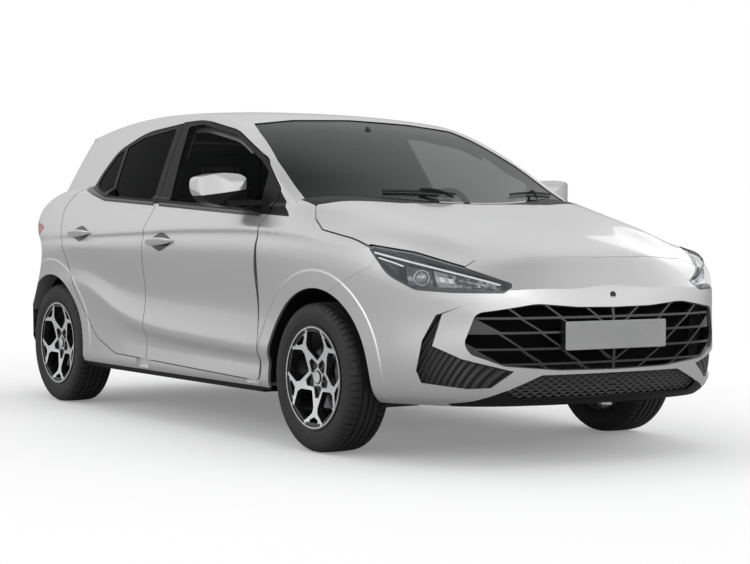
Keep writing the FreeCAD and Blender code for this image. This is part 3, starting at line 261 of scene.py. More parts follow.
BRAKE = surface("brake_disc", (0.30, 0.30, 0.31), 0.32, 0.95, 0.0, 0.1, 300.0, 0.1, 0.2, 900.0)
CALIPER = surface("brake_caliper", (0.16, 0.16, 0.165), 0.42, 0.3, 0.2, 0.12, 90.0, 0.08, 0.3, 600.0)
UNDERBODY = surface("underbody", (0.03, 0.03, 0.032), 0.75, 0.0, 0.0, 0.3, 12.0, 0.1, 0.5, 120.0)
TRIM = surface("cabin_trim", (0.022, 0.022, 0.024), 0.62, 0.0, 0.0, 0.15, 40.0, 0.08, 0.4, 1100.0)
CHROME = surface("reflector", (0.62, 0.63, 0.65), 0.14, 1.0, 0.0, 0.03, 20.0, 0.05)
GRILLE_BARS = surface("grille_bars", (0.018, 0.018, 0.019), 0.24, 0.0, 0.5, 0.15, 60.0, 0.05)
# Near-black matte for the sheet of painted shade behind the grille
GRILLE_SHADE_BLACK = surface("grille_painted_shade", (0.003, 0.003, 0.003), 0.8, 0.0, 0.0, 0.2, 60.0, 0.05, gloss_level=0.1)
DARK_CHROME = surface("dark_reflector", (0.20, 0.21, 0.22), 0.2, 1.0, 0.0, 0.1, 30.0, 0.06)
GUIDE = surface("light_guide", (0.80, 0.82, 0.84), 0.2, 0.0, 0.5, 0.03, 40.0, 0.05, glow=0.35)
PLATE = surface("plate_face", (0.34, 0.34, 0.343), 0.4, 0.0, 0.3, 0.06, 7.0, 0.05)
BELT = surface("belt_trim", (0.045, 0.046, 0.048), 0.32, 0.3, 0.2, 0.08, 60.0, 0.05)
MIRROR_GLASS = surface("mirror_glass", (0.80, 0.81, 0.82), 0.03, 1.0, 0.0, 0.02, 10.0, 0.01)


def tyre_rubber():
    mat, tree, shader = new_material("tyre_rubber")
    noise = noise_node(tree, 22.0)
    tree.links.new(tinted(tree, noise, (0.012, 0.012, 0.0125), 0.25), shader.inputs["Base Color"])
    tree.links.new(ranged(tree, noise.outputs["Fac"], 0.55, 0.72), shader.inputs["Roughness"])
    fine = noise_node(tree, 600.0, 2.0)
    relief(tree, shader, fine.outputs["Fac"], 0.3, 0.0006)
    return mat


def cloth_weave(name, colour):
    """Woven cloth: crossed threads of about 2 mm with a soft sheen."""
    mat, tree, shader = new_material(name)
    noise = noise_node(tree, 60.0)
    tree.links.new(tinted(tree, noise, colour, 0.2), shader.inputs["Base Color"])
    tree.links.new(ranged(tree, noise.outputs["Fac"], 0.78, 0.92), shader.inputs["Roughness"])
    waves = [maths(tree, "SINE", times(tree, axis, 3000.0)) for axis in split_axes(tree)]
    weave = plus(tree, times(tree, waves[0], waves[1]), times(tree, waves[0], waves[2]))
    relief(tree, shader, weave, 0.35, 0.0004)
    set_inputs(shader, {"Sheen Weight": 0.35, "Sheen Roughness": 0.5})
    return mat


def intake_mesh():
    """Black plastic with a diamond mesh in the middle and slanted ribs in the side intakes, with painted
    shade in the pattern's hollows and a painted highlight on its ridges.
    """
    mat, tree, shader = new_material("intake_mesh")
    x, y, z = car_axes(tree)
    slope = times(tree, z, 1.7)
    slant = maths(tree, "SINE", times(tree, plus(tree, x, slope), 150.0))
    back = maths(tree, "SINE", times(tree, maths(tree, "SUBTRACT", x, slope), 150.0))
    diamonds = maths(tree, "MAXIMUM", slant, back)
    rib = plus(tree, times(tree, y, 0.87), times(tree, z, 0.5))
    ribs = maths(tree, "SINE", times(tree, rib, 330.0))
    outer = ranged(tree, x, 0.0, 1.0, 0.499, 0.501)
    height = tree.nodes.new("ShaderNodeMix")
    for slot, value in ((0, outer), (2, diamonds), (3, ribs)):
        tree.links.new(value, height.inputs[slot])
    # Painted shade and highlight: the colour follows the pattern's height, near black in the hollows and a
    # little lighter on the ridges
    colour = ramp(tree, height.outputs[0], [(0.25, (0.002, 0.002, 0.002)), (0.85, (0.020, 0.020, 0.021))])
    tree.links.new(colour, shader.inputs["Base Color"])
    noise = noise_node(tree, 70.0)
    tree.links.new(ranged(tree, noise.outputs["Fac"], 0.34, 0.46), shader.inputs["Roughness"])
    relief(tree, shader, height.outputs[0], 0.9, 0.004)
    return mat


def wheel_face():
    """Bright machined metal, black by the rim, in the pockets round the cap and on the rim's lip."""
    mat, tree, shader = new_material("alloy_machined")
    noise = noise_node(tree, 120.0)
    bright = tinted(tree, noise, (0.80, 0.805, 0.81), 0.03)
    y, z = car_axes(tree)[1:]
    front = ranged(tree, y, 1.0, 0.0, 0.0, 0.1)
    axle = ranged(tree, front, REAR_AXLE, FRONT_AXLE, 0.0, 1.0)
    along = maths(tree, "SUBTRACT", y, axle)
    up = plus(tree, z, -WHEEL_Z)
    far = distance(tree, along, up)
    turn = maths(tree, "ARCTAN2", along, up)
    half_pitch = math.radians(36)
    fifth = maths(tree, "FLOORED_MODULO", turn, 2 * half_pitch)
    spoke = maths(tree, "ABSOLUTE", plus(tree, fifth, -half_pitch))
    across = times(tree, far, maths(tree, "SINE", spoke))
    out = times(tree, far, maths(tree, "COSINE", spoke))
    gap_out = times(tree, far, maths(tree, "COSINE", maths(tree, "SUBTRACT", half_pitch, spoke)))
    arm_low, arm_high, rim = math.radians(16.4), math.radians(20.8), 0.2052
    regions = [
        region(tree, (spoke, far, out), [(0, 0, 1, 0.1862), (0, -1, 0, -rim), (-1, 0, 0, -arm_low)]),
        region(tree, (spoke, far, gap_out), [(0, 0, 1, 0.1878), (0, -1, 0, -rim), (1, 0, 0, arm_high)]),
        region(tree, (spoke, far, far), [(0, 1, 0, 0.2105)]),
        region(tree, (spoke, far, far), [(0, 1, 0, 0.0235), (0, -1, 0, -0.0290)]),
        region(tree, (across, out, out), [(0, 1, 0, 0.0350), (0, -1, 0, -0.0865), (-1, 0.8, 0, 0.0058),
                                          (-1, -0.41, 0, -0.0485)]),
    ]
    dark = regions[0]
    for part in regions[1:]:
        dark = maths(tree, "MAXIMUM", dark, part)
    tree.links.new(mixed(tree, dark, bright, BLACK_COLOUR), shader.inputs["Base Color"])
    tree.links.new(ranged(tree, dark, 0.75, 0.0, 0.0, 1.0), shader.inputs["Metallic"])
    tree.links.new(ranged(tree, noise.outputs["Fac"], 0.24, 0.34), shader.inputs["Roughness"])
    shader.inputs["Coat Weight"].default_value = 0.2
    return mat


TYRE = tyre_rubber()
ALLOY_BRIGHT = wheel_face()
CLOTH = cloth_weave("seat_cloth", (0.035, 0.035, 0.038))
CLOTH_SIDE = cloth_weave("seat_bolster", (0.020, 0.020, 0.022))
INTAKE = intake_mesh()

NODE_MATERIALS = {
    "hood": PAINT, "front_bumper": PAINT_SIDE, "front_fenders": PAINT_FRAME, "cowl": BLACK_PLASTIC,
    "headlamps": LENS, "headlamp_housings": BLACK_GLOSS, "grille": GRILLE_BARS, "lower_grille": INTAKE,
    "front_lip": BLACK_PLASTIC, "rear_diffuser": BLACK_PLASTIC, "roof_panel": PAINT,
    "rear_bumper": PAINT_SIDE, "tailgate": PAINT, "rear_window": DARK_GLASS, "tail_lamps": RED_LENS,
    "windshield": CLEAR_GLASS,
    "floor_pan": UNDERBODY, "arch_liners": BLACK_PLASTIC, "dashboard": TRIM, "steering_wheel": TRIM,
    "engine": STEEL, "radiator": STEEL, "front_subframe": STEEL, "rear_axle": STEEL,
    "fuel_tank": BLACK_PLASTIC, "exhaust": STEEL,
}
for side, mirror in SIDES:
    NODE_MATERIALS.update({
        "side_frame_" + side: PAINT_FRAME, "front_door_" + side: PAINT_DOOR, "rear_door_" + side: PAINT_DOOR,
        "front_glass_" + side: SIDE_GLASS, "rear_glass_" + side: DARK_GLASS, "mirror_" + side: PAINT_MIRROR,
        "knuckle_" + side: CAST,
    })
for name, mat in NODE_MATERIALS.items():
    mesh = NODES[name].data
    mesh.materials.clear()
    mesh.materials.append(mat)


# Wheels: machined outward faces, the rest black


def wheel_face_depth(radius):
    """How far the machined face stands outward of the wheel's centre plane at a radius."""
    stops = [(0.0, 0.0675), (0.060, 0.0675), (0.179, 0.0855), (0.202, 0.0895), (0.2035, 0.0935),
             (0.3, 0.0935)]
    for (low, a), (high, b) in zip(stops, stops[1:]):
        if radius <= high:
            return a + (b - a) * (radius - low) / (high - low)
    return stops[-1][1]


for end, side, sign, axle in WHEEL_SPOTS:
    mesh = NODES["%s_wheel_%s" % (end, side)].data
    mesh.materials.clear()
    for mat in (ALLOY_BLACK, ALLOY_BRIGHT, BRAKE):
        mesh.materials.append(mat)
    for face in mesh.polygons:
        centre = face.center
        radius = math.hypot(centre.y - axle, centre.z - WHEEL_Z)
        out = (centre.x - sign * WHEEL_X) * sign
        if face.normal.x * sign > 0.85 and out > wheel_face_depth(radius) - 0.0022:
            face.material_index = 1
        elif 0.07 < radius < 0.135 and out < 0.021:
            face.material_index = 2


# Mesh helpers


def add_object(name, mesh, mats, body, smooth=True):
    for mat in mats:
        mesh.materials.append(mat)
    if smooth:
        for face in mesh.polygons:
            face.use_smooth = True
    obj = bpy.data.objects.new(name, mesh)
    bpy.context.collection.objects.link(obj)
    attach(obj, body)
    return obj


def grid_mesh(name, rows, closed_rows=False, closed_columns=False, caps=False):
    """A mesh from rows of points; rows and columns may close on themselves."""
    count = len(rows[0])
    verts = [tuple(p) for row in rows for p in row]
    faces = []
    for i in range(len(rows) if closed_rows else len(rows) - 1):
        for j in range(count if closed_columns else count - 1):
            a = i * count + j
            b = i * count + (j + 1) % count
            c = ((i + 1) % len(rows)) * count + (j + 1) % count
            d = ((i + 1) % len(rows)) * count + j
            faces.append((a, b, c, d))
    if caps:
        faces.append(tuple(range(count)))
        faces.append(tuple(range((len(rows) - 1) * count, len(rows) * count)))
    mesh = bpy.data.meshes.new(name)
    mesh.from_pydata(verts, [], faces)
    work = bmesh.new()
    work.from_mesh(mesh)
    bmesh.ops.recalc_face_normals(work, faces=work.faces)
    work.to_mesh(mesh)
    work.free()
    return mesh


def tree_of(*names):
    verts, faces = [], []
    for name in names:
        base = len(verts)
        mesh = NODES[name].data
        verts += [v.co.copy() for v in mesh.vertices]
        faces += [[base + i for i in face.vertices] for face in mesh.polygons]
    return BVHTree.FromPolygons(verts, faces)


def side_hit(tree, y, z, sign=-1):
    """The outer surface at a height and length, seen from the side, with its outward normal."""
    spot, normal = tree.ray_cast(Vector((sign * 2.0, y, z)), Vector((-sign, 0, 0)))[:2]
    if spot is None:
        return None, None
    if normal.x * sign < 0:
        normal = -normal
    return spot, normal


def side_point(tree, y, z, sign, lift, spare_x):
    """A point at a height above the outer surface, or on a plane where the surface is open."""
    spot, normal = side_hit(tree, y, z, sign)
    if spot is None:
        spot, normal = Vector((sign * spare_x, y, z)), Vector((sign, 0, 0))
    return spot + normal * lift


def soft_ring(count, power_u, power_v):
    """Points round a square with sides of 2; lower powers give squarer corners."""
    ring = []
    for k in range(count):
        turn = 2 * math.pi * k / count
        c, s = math.cos(turn), math.sin(turn)
        ring.append((math.copysign(abs(c) ** power_u, c), math.copysign(abs(s) ** power_v, s)))
    return ring


def strip(name, points, width, thick, up, mats, body, mirror=1, ends=0.4):
    """A flat bar with softly rounded edges along a line of points."""
    line = smooth_line([Vector(p) for p in points], 6)
    section = soft_ring(12, 0.5, 0.5)
    rows = []
    last = len(line) - 1
    for i, at in enumerate(line):
        ahead = (line[min(i + 1, last)] - line[max(i - 1, 0)]).normalized()
        across = ahead.cross(Vector(up)).normalized()
        rise = across.cross(ahead).normalized()
        size = 0.5 if 0 < i < last else ends / 2
        ring = [at + rise * (u * width * size) + across * (v * thick * size) for u, v in section]
        rows.append([(p.x * mirror, p.y, p.z) for p in ring])
    mesh = grid_mesh(name, rows, closed_columns=True, caps=True)
    return add_object(name, mesh, mats, body)


def smooth_line(points, steps):
    """A line through the points, rounded between them."""
    if len(points) < 3:
        return points
    line = []
    padded = [points[0]] + points + [points[-1]]
    for i in range(len(points) - 1):
        a, b, c, d = padded[i:i + 4]
        for k in range(steps):
            t = k / steps
            line.append(0.5 * (2 * b + (c - a) * t + (2 * a - 5 * b + 4 * c - d) * t * t
                               + (3 * b - a - 3 * c + d) * t * t * t))
    line.append(points[-1])
    return line


def turned_ring(name, profile, centre, axis, mats, body, steps=48, mirror=1, closed=False):
    """A profile of (radius, distance along the axis) points turned round an axis."""
    axis = Vector(axis).normalized()
    side = axis.cross(Vector((0, 0, 1))).normalized()
    top = side.cross(axis)
    rows = []
    for k in range(steps):
        turn = 2 * math.pi * k / steps
        out = side * math.cos(turn) + top * math.sin(turn)
        row = []
        for radius, along in profile:
            p = Vector(centre) + out * max(radius, 0.00001) + axis * along
            row.append((p.x * mirror, p.y, p.z))
        rows.append(row)
    mesh = grid_mesh(name, rows, closed_rows=True, closed_columns=closed)
    work = bmesh.new()
    work.from_mesh(mesh)
    bmesh.ops.remove_doubles(work, verts=work.verts, dist=0.00003)
    bmesh.ops.recalc_face_normals(work, faces=work.faces)
    work.to_mesh(mesh)
    work.free()
    return add_object(name, mesh, mats, body)


def rounded_block(name, low, high, radius, mats, body, segments=3):
    mesh = bpy.data.meshes.new(name)
    work = bmesh.new()
    bmesh.ops.create_cube(work, size=1.0)
    for vert in work.verts:
        for k in range(3):
            vert.co[k] = low[k] + (vert.co[k] + 0.5) * (high[k] - low[k])
    bmesh.ops.bevel(work, geom=work.edges, offset=radius, segments=segments, profile=0.5, affect="EDGES")
    work.to_mesh(mesh)
    work.free()
    return add_object(name, mesh, mats, body)


# Tyres with a grooved tread


def tyre_profile():
    """(distance from the middle plane, radius, share of the block groove) round one section."""
    half = [(0.0, 0.3104, 0), (0.0085, 0.3104, 0), (0.0090, 0.3040, 0), (0.0165, 0.3040, 0),
            (0.0170, 0.3103, 0), (0.0395, 0.3100, 0), (0.0400, 0.3030, 0), (0.0490, 0.3028, 0),
            (0.0495, 0.3096, 0.6),
            (0.0640, 0.3088, 1), (0.0760, 0.3068, 1), (0.0850, 0.3018, 1), (0.0900, 0.2960, 0.6),
            (0.0925, 0.2905, 0), (0.0938, 0.2900, 0), (0.0952, 0.2830, 0), (0.0965, 0.2810, 0),
            (0.0972, 0.2650, 0), (0.0970, 0.2480, 0), (0.0962, 0.2400, 0), (0.0950, 0.2392, 0),
            (0.0935, 0.2290, 0), (0.0905, 0.2200, 0), (0.0870, 0.2140, 0), (0.0855, 0.2100, 0)]
    left = [(-x, r, g) for x, r, g in reversed(half[1:])]
    return left + half


def make_tyre(end, side, sign, axle):
    name = "%s_tyre_tread_%s" % (end, side)
    profile = tyre_profile()
    pitches = 64
    rows = []
    for pitch in range(pitches):
        for share, groove in ((0.0, 0), (0.40, 0), (0.80, 0), (0.83, 1), (0.97, 1)):
            row = []
            for x, radius, depth in profile:
                slant = 0.18 * abs(x) / 0.09
                turn = 2 * math.pi * (pitch + share + slant) / pitches
                r = radius - 0.0062 * groove * depth
                row.append((sign * (WHEEL_X + x), axle + r * math.cos(turn), WHEEL_Z + r * math.sin(turn)))
            rows.append(row)
    mesh = grid_mesh(name, rows, closed_rows=True, closed_columns=True)
    obj = add_object(name, mesh, [TYRE], "%s_wheel_%s" % (end, side))
    mesh.set_sharp_from_angle(angle=math.radians(40))
    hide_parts("%s_tyre_%s" % (end, side))


for spot in WHEEL_SPOTS:
    make_tyre(*spot)


def wheel_nuts(end, side, sign, axle):
    """Five wheel nuts in their recesses round the cap."""
    profile = [(0.0, 0.0075), (0.0048, 0.0075), (0.0078, 0.0055), (0.0082, 0.0), (0.0105, -0.0005),
               (0.0110, -0.002)]
    for k in range(5):
        turn = 2 * math.pi * (k + 0.5) / 5
        centre = (sign * (WHEEL_X + NUT_BASE), axle + NUT_CIRCLE * math.sin(turn),
                  WHEEL_Z + NUT_CIRCLE * math.cos(turn))
        turned_ring("wheel_nut_%s_%s_%d" % (end, side, k), profile, centre, (sign, 0, 0), [STEEL],
                    "%s_wheel_%s" % (end, side), 6)


for spot in WHEEL_SPOTS:
    wheel_nuts(*spot)


def caliper(name, body, sign, axle, middle, spread, inner, outer, x_in, x_out):
    """A brake caliper: an arc-shaped block with two raised piston housings."""
    rows = []
    steps = 20
    mid = (inner + outer) / 2
    for i in range(steps + 1):
        share = i / steps
        turn = middle - spread + 2 * spread * share
        bulge = 0.004 * (math.exp(-((share - 0.28) / 0.12) ** 2) + math.exp(-((share - 0.72) / 0.12) ** 2))
        half = (outer - inner) / 2 * min(1.0, 0.55 + 3.0 * min(share, 1 - share))
        ring = []
        for u, v in soft_ring(16, 0.45, 0.45):
            r = mid + u * half
            x = (x_in + x_out) / 2 + v * (x_out - x_in) / 2 + (bulge if v > 0.3 else 0.0)
            ring.append((sign * x, axle + r * math.cos(turn), WHEEL_Z + r * math.sin(turn)))
        rows.append(ring)
    mesh = grid_mesh(name, rows, closed_columns=True, caps=True)
    add_object(name, mesh, [CALIPER], body)


for side, sign in (("right", -1), ("left", 1)):
    caliper("front_caliper_" + side, "knuckle_" + side, sign, FRONT_AXLE,
            math.radians(176), math.radians(29), 0.090, 0.148, 0.7885, 0.8035)
    caliper("rear_caliper_" + side, "body", sign, REAR_AXLE, math.radians(15), math.radians(22),
            0.092, 0.146, 0.7885, 0.8015)
    caliper("rear_caliper_bridge_" + side, "body", sign, REAR_AXLE, math.radians(15), math.radians(20),
            0.134, 0.147, 0.744, 0.800)


# Door handles, each a bar over a hand recess, drawn as a flat sheet with painted shade: dark grey at the
# top, black below


def handle(name, door, y0, y1, z, height, mirror):
    tree = tree_of(door)
    sign = -mirror
    middle = (y0 + y1) / 2
    half = (y1 - y0) / 2
    rows = []
    for i in range(29):
        u = -1 + 2 * i / 28
        reach = height / 2 * max(0.02, (1 - abs(u) ** 1.35)) ** 0.8
        y = middle + u * half * 0.86
        rows.append([side_point(tree, y, z + (j / 6 - 1) * reach, sign, 0.0009, 0.88) for j in range(13)])
    mesh = grid_mesh(name + "_recess_painted_shade", rows)
    add_object(name + "_recess_painted_shade", mesh, [BLACK_GLOSS, PAINT_SHADE], door)
    # Painted shade of the hollow: the upper faces take the dark grey paint, the rest stays black
    for face in mesh.polygons:
        if face.center.z > z + 0.004:
            face.material_index = 1
    rows = []
    for i in range(33):
        u = -1 + 2 * i / 32
        spot = side_hit(tree, middle + u * half, z - 0.006 * u, sign)[0]
        if spot is None:
            continue
        lift = 0.0035 + 0.027 * (1 - abs(u) ** 3.0)
        tall = 0.0175 * (1 - abs(u) ** 2.6) ** 0.7 + 0.0012
        deep = 0.0075 * (1 - abs(u) ** 4) ** 0.5 + 0.001
        rows.append([(spot.x + sign * (lift + out * deep + 0.25 * up * tall), spot.y, spot.z + up * tall)
                     for out, up in soft_ring(16, 0.8, 0.75)])
    mesh = grid_mesh(name + "_bar", rows, closed_columns=True, caps=True)
    add_object(name + "_bar", mesh, [PAINT], door)


# Dark grey paint for the painted shade at the top of the handle recesses
PAINT_SHADE = surface("paint_in_shade", (0.07, 0.07, 0.07), 0.38, 0.5, 0.4, 0.05, 60.0, 0.04)
for side, mirror in SIDES:
    handle("front_handle_" + side, "front_door_" + side, 0.046, 0.314, 0.856, 0.088, mirror)
    handle("rear_handle_" + side, "rear_door_" + side, 0.945, 1.195, 0.888, 0.080, mirror)


# Belt mouldings under the side windows


def belt_moulding(side, mirror):
    section = ((-0.011, 0.0004), (-0.009, 0.0035), (-0.001, 0.0045), (0.004, 0.0040), (0.006, 0.0004))
    steps = 40
    for end, door, start, stop in (("front", "front_door_" + side, -0.66, 0.335),
                                   ("rear", "rear_door_" + side, 0.40, 1.225)):
        tree = tree_of(door)
        rows = []
        for i in range(steps + 1):
            y = start + (stop - start) * i / steps
            base = BELT_Z + BELT_RISE * y + max(0.0, (REAR_BELT_RISE - BELT_RISE) * (y - BELT_BEND))
            rows.append([side_point(tree, y, base + dz, -mirror, lift, 0.78) for dz, lift in section])
        mesh = grid_mesh("belt_moulding_%s_%s" % (end, side), rows)
        add_object("belt_moulding_%s_%s" % (end, side), mesh, [BELT], door)


for side, mirror in SIDES:
    belt_moulding(side, mirror)


# Headlamp insides, placed behind the lens along the same line for every piece

INTO_LAMP = Vector((0.56, 0.83, 0.0))
LAMP_EDGE = [(-0.8196, -1.5392, 0.8369), (-0.8050, -1.6100, 0.8240), (-0.7871, -1.6842, 0.8106),
             (-0.7450, -1.7600, 0.7915), (-0.6962, -1.8249, 0.7730), (-0.5780, -1.9243, 0.7350),
             (-0.5050, -1.9640, 0.7130)]


def behind(point, depth, rise=0.0):
    return Vector(point) + INTO_LAMP * depth + Vector((0, 0, rise))


def lamp_panel(name, corners, columns, rows_count, depth, zigzag, mat, mirror):
    """A reflector between four corners given on the lens, with facets across it."""
    a, b, c, d = [Vector(p) for p in corners]
    rows = []
    for i in range(rows_count + 1):
        v = i / rows_count
        hollow = depth + 0.012 * math.sin(math.pi * v)
        row = []
        for j in range(columns + 1):
            u = j / columns
            p = a.lerp(b, u).lerp(d.lerp(c, u), v) + INTO_LAMP * (hollow + (zigzag if j % 2 else 0.0))
            row.append((p.x * mirror, p.y, p.z))
        rows.append(row)
    add_object(name, grid_mesh(name, rows), [mat], "body", smooth=False)


def headlamp_inside(side, mirror):
    strip("lamp_brow_" + side, [behind(p, 0.007, 0.010) for p in LAMP_EDGE], 0.016, 0.003, (0, 0, 1),
          [BLACK_GLOSS], "body", mirror)
    strip("lamp_day_strip_" + side, [behind(p, 0.014, -0.003) for p in LAMP_EDGE], 0.0075, 0.006, (0, 0, 1),
          [GUIDE], "body", mirror)
    lower = [(-0.8157, -1.5755, 0.8120), (-0.8075, -1.6250, 0.8010), (-0.7953, -1.6674, 0.7905),
             (-0.7800, -1.7000, 0.7790)]
    strip("lamp_second_strip_" + side, [behind(p, 0.016) for p in lower], 0.0060, 0.005, (0, 0, 1),
          [GUIDE], "body", mirror)
    ribbed = [(-0.8145, -1.5900, 0.8020), (-0.7930, -1.6800, 0.7800), (-0.7900, -1.6900, 0.7330),
              (-0.8060, -1.6300, 0.7640)]
    lamp_panel("lamp_ribbed_reflector_" + side, ribbed, 18, 4, 0.018, 0.004, DARK_CHROME, mirror)
    main = [(-0.7200, -1.8150, 0.7640), (-0.5250, -1.9600, 0.7110), (-0.5300, -1.9700, 0.6960),
            (-0.7130, -1.8400, 0.7000)]
    lamp_panel("lamp_main_reflector_" + side, main, 14, 3, 0.020, 0.006, CHROME, mirror)
    bezel = [(-0.7780, -1.7100, 0.7750), (-0.7250, -1.8100, 0.7620), (-0.7250, -1.8250, 0.7020),
             (-0.7760, -1.7300, 0.7080)]
    lamp_panel("lamp_bezel_" + side, bezel, 6, 4, 0.034, 0.0, DARK_CHROME, mirror)
    facing = Vector((-0.45, -0.89, 0.02)).normalized()
    centre = behind((-0.7513, -1.7817, 0.7358), 0.030)
    ring = [(0.0285, -0.012), (0.0320, -0.004), (0.0320, 0.003), (0.0295, 0.007), (0.0260, 0.003),
            (0.0250, -0.010)]
    turned_ring("lamp_projector_ring_" + side, ring, centre, facing, [CHROME], "body", 40,
                mirror, True)
    dome = [(0.0, 0.010), (0.006, 0.0095), (0.012, 0.0080), (0.018, 0.0045), (0.023, -0.001),
            (0.0248, -0.007)]
    turned_ring("lamp_projector_lens_" + side, dome, centre, facing, [PROJECTOR], "body", 40,
                mirror)


PROJECTOR = surface("projector_lens", (0.45, 0.48, 0.50), 0.04, 0.6, 1.0, 0.2, 60.0, 0.02)
for side, mirror in SIDES:
    headlamp_inside(side, mirror)


# Light bars on the red lens


def tail_bars(side, mirror):
    tree = tree_of("tail_lamps")
    sign = -mirror
    for k, (dz, y0, y1) in enumerate(((0.930, 1.60, 1.86), (0.885, 1.62, 1.88), (0.838, 1.66, 1.90))):
        points = []
        for i in range(9):
            y = y0 + (y1 - y0) * i / 8
            spot, normal = side_hit(tree, y, dz, sign)
            if spot is not None:
                points.append(spot + normal * 0.0006)
        if len(points) > 3:
            strip("tail_bar_%s_%d" % (side, k), points, 0.006, 0.0022, (0, 0, 1), [RED_GLOW], "body")


RED_GLOW = surface("tail_light_bar", (0.55, 0.03, 0.035), 0.15, 0.0, 0.8, 0.1, 60.0, 0.03)
for side, mirror in SIDES:
    tail_bars(side, mirror)


# The bumper's corner panel behind each rear wheel


def corner_panel(side, mirror):
    """Closes the bumper's opening behind the wheel, just inside its outer face."""
    tree = tree_of("rear_bumper")
    sign = -mirror
    whole_z = 0.4965
    low, tall, count = 0.3440, 0.1455, 30
    front, middle, back, step = 1.745, 1.86, 1.955, 0.001

    def face_x(y):
        return side_hit(tree, y, whole_z, sign)[0].x

    def is_open(y, z):
        spot = side_hit(tree, y, z, sign)[0]
        return spot is None or abs(spot.x) < abs(face_x(y)) - 0.008

    rows = []
    for i in range(count):
        z = low + tall * i / (count - 1)
        if not is_open(middle, z):
            continue
        start = stop = middle
        while start > front and is_open(start, z):
            start -= step
        while stop < back and is_open(stop, z):
            stop += step
        line = [start - 0.0015 + (stop - start + 0.003) * j / 20 for j in range(21)]
        outer = [(face_x(y) - sign * 0.0004, y, z) for y in line]
        inner = [(x - sign * 0.0022, y, z) for x, y, z in reversed(outer)]
        rows.append(outer + inner)
    rows.insert(0, [(x, y, z - 0.003) for x, y, z in rows[0]])
    mesh = grid_mesh("bumper_corner_" + side, rows, closed_columns=True, caps=True)
    add_object("bumper_corner_" + side, mesh, [PAINT_SIDE], "body", smooth=False)


for side, mirror in SIDES:
    corner_panel(side, mirror)


# Number plate, camera, wipers, mirrors


def number_plate():
    work = bmesh.new()
    outline = []
    corners = ((0.252, 0.048, 0), (-0.252, 0.048, 90), (-0.252, -0.048, 180), (0.252, -0.048, 270))
    for cx, cz, start in corners:
        for k in range(5):
            turn = math.radians(start + 22.5 * k)
            outline.append((cx + 0.008 * math.cos(turn), cz + 0.008 * math.sin(turn)))
    nose = min(v.co.y for v in NODES["grille"].data.vertices)
    for wide, tall, out in ((1.0, 1.0, 0.0002), (1.0, 1.0, 0.0018), (0.985, 0.95, 0.0026)):
        for x, z in outline:
            work.verts.new((x * wide, nose - out, PLATE_Z + z * tall))
    work.verts.ensure_lookup_table()
    count = len(outline)
    for ring in range(2):
        for k in range(count):
            a, b = ring * count + k, ring * count + (k + 1) % count
            work.faces.new([work.verts[i] for i in (a, b, b + count, a + count)])
    work.faces.new([work.verts[2 * count + k] for k in range(count)])
    work.faces.new([work.verts[k] for k in range(count)])
    bmesh.ops.recalc_face_normals(work, faces=work.faces)
    mesh = bpy.data.meshes.new("number_plate")
    work.to_mesh(mesh)
    work.free()
    add_object("number_plate", mesh, [PLATE], "body", smooth=False)


def nose_camera():
    spot = tree_of("front_bumper").ray_cast(Vector((0, -3, 0.669)), Vector((0, 1, 0)))[0]
    ring = [(0.0135, -0.002), (0.0135, 0.0012), (0.0125, 0.0028), (0.0105, 0.0030), (0.0095, 0.0010)]
    turned_ring("nose_camera_ring", ring, spot, (0, -1, 0), [BLACK_PLASTIC], "body", 32)
    dome = [(0.0, 0.0032), (0.004, 0.0028), (0.0075, 0.0018), (0.0096, 0.0006)]
    turned_ring("nose_camera_lens", dome, spot, (0, -1, 0), [BLACK_GLOSS], "body", 32)


def wiper(name, start, end, pivot):
    glass = tree_of("windshield", "cowl")

    def drop(x, y):
        return glass.ray_cast(Vector((x, y, 2)), Vector((0, 0, -1)))[:2]

    points = []
    for i in range(13):
        share = i / 12
        spot, normal = drop(start[0] + (end[0] - start[0]) * share, start[1] + (end[1] - start[1]) * share)
        if spot is not None:
            points.append(spot + normal * (0.008 if normal.z > 0 else -0.008))
    strip(name + "_blade", points, 0.012, 0.007, (0, 0, 1), [RUBBER], "body", ends=0.5)
    middle = points[len(points) // 2] + Vector((0, 0, 0.009))
    spot = drop(*pivot)[0]
    base = (spot if spot is not None else Vector((*pivot, 1.02))) + Vector((0, 0, 0.010))
    bend = base.lerp(middle, 0.45) + Vector((0, 0, 0.012))
    strip(name + "_arm", [base, bend, middle], 0.013, 0.007, (0, 0, 1), [BLACK_PLASTIC], "body")


def door_mirror_glass(side, mirror):
    outline = [(-1.030, 1.092), (-1.026, 1.128), (-0.950, 1.150), (-0.860, 1.146), (-0.832, 1.124),
               (-0.830, 1.070), (-0.860, 1.040), (-0.930, 1.032), (-0.995, 1.046)]
    line = smooth_line([Vector((x, 0, z)) for x, z in outline + outline[:1]], 4)[:-1]
    back = [(-1.050, -0.415), (-0.812, -0.432)]
    centre = Vector((-0.93, 0, 1.09))
    rows = []
    for grow, lift in ((1.0, 0.0004), (1.0, 0.0016), (0.97, 0.0022), (0.5, 0.0022), (0.02, 0.0022)):
        row = []
        for p in line:
            q = centre.lerp(p, grow)
            share = (q.x - back[0][0]) / (back[1][0] - back[0][0])
            y = back[0][1] + (back[1][1] - back[0][1]) * share + lift
            row.append((q.x * mirror, y, q.z))
        rows.append(row)
    mesh = grid_mesh("mirror_glass_" + side, rows, closed_columns=True)
    add_object("mirror_glass_" + side, mesh, [MIRROR_GLASS], "front_door_" + side)


def cabin_mirror():
    rounded_block("cabin_mirror", (-0.115, -0.288, 1.318), (0.115, -0.262, 1.378), 0.010, [TRIM], "body")
    stem = [(0, -0.272, 1.374), (0, -0.262, 1.392), (0, -0.246, 1.404)]
    strip("cabin_mirror_stem", stem, 0.018, 0.014, (1, 0, 0), [TRIM], "body")


number_plate()
nose_camera()
wiper("wiper_right", (-0.385, -0.955), (-0.060, -1.048), (-0.10, -1.085))
wiper("wiper_left", (0.270, -1.008), (0.640, -0.840), (0.42, -1.020))
for side, mirror in SIDES:
    door_mirror_glass(side, mirror)
cabin_mirror()
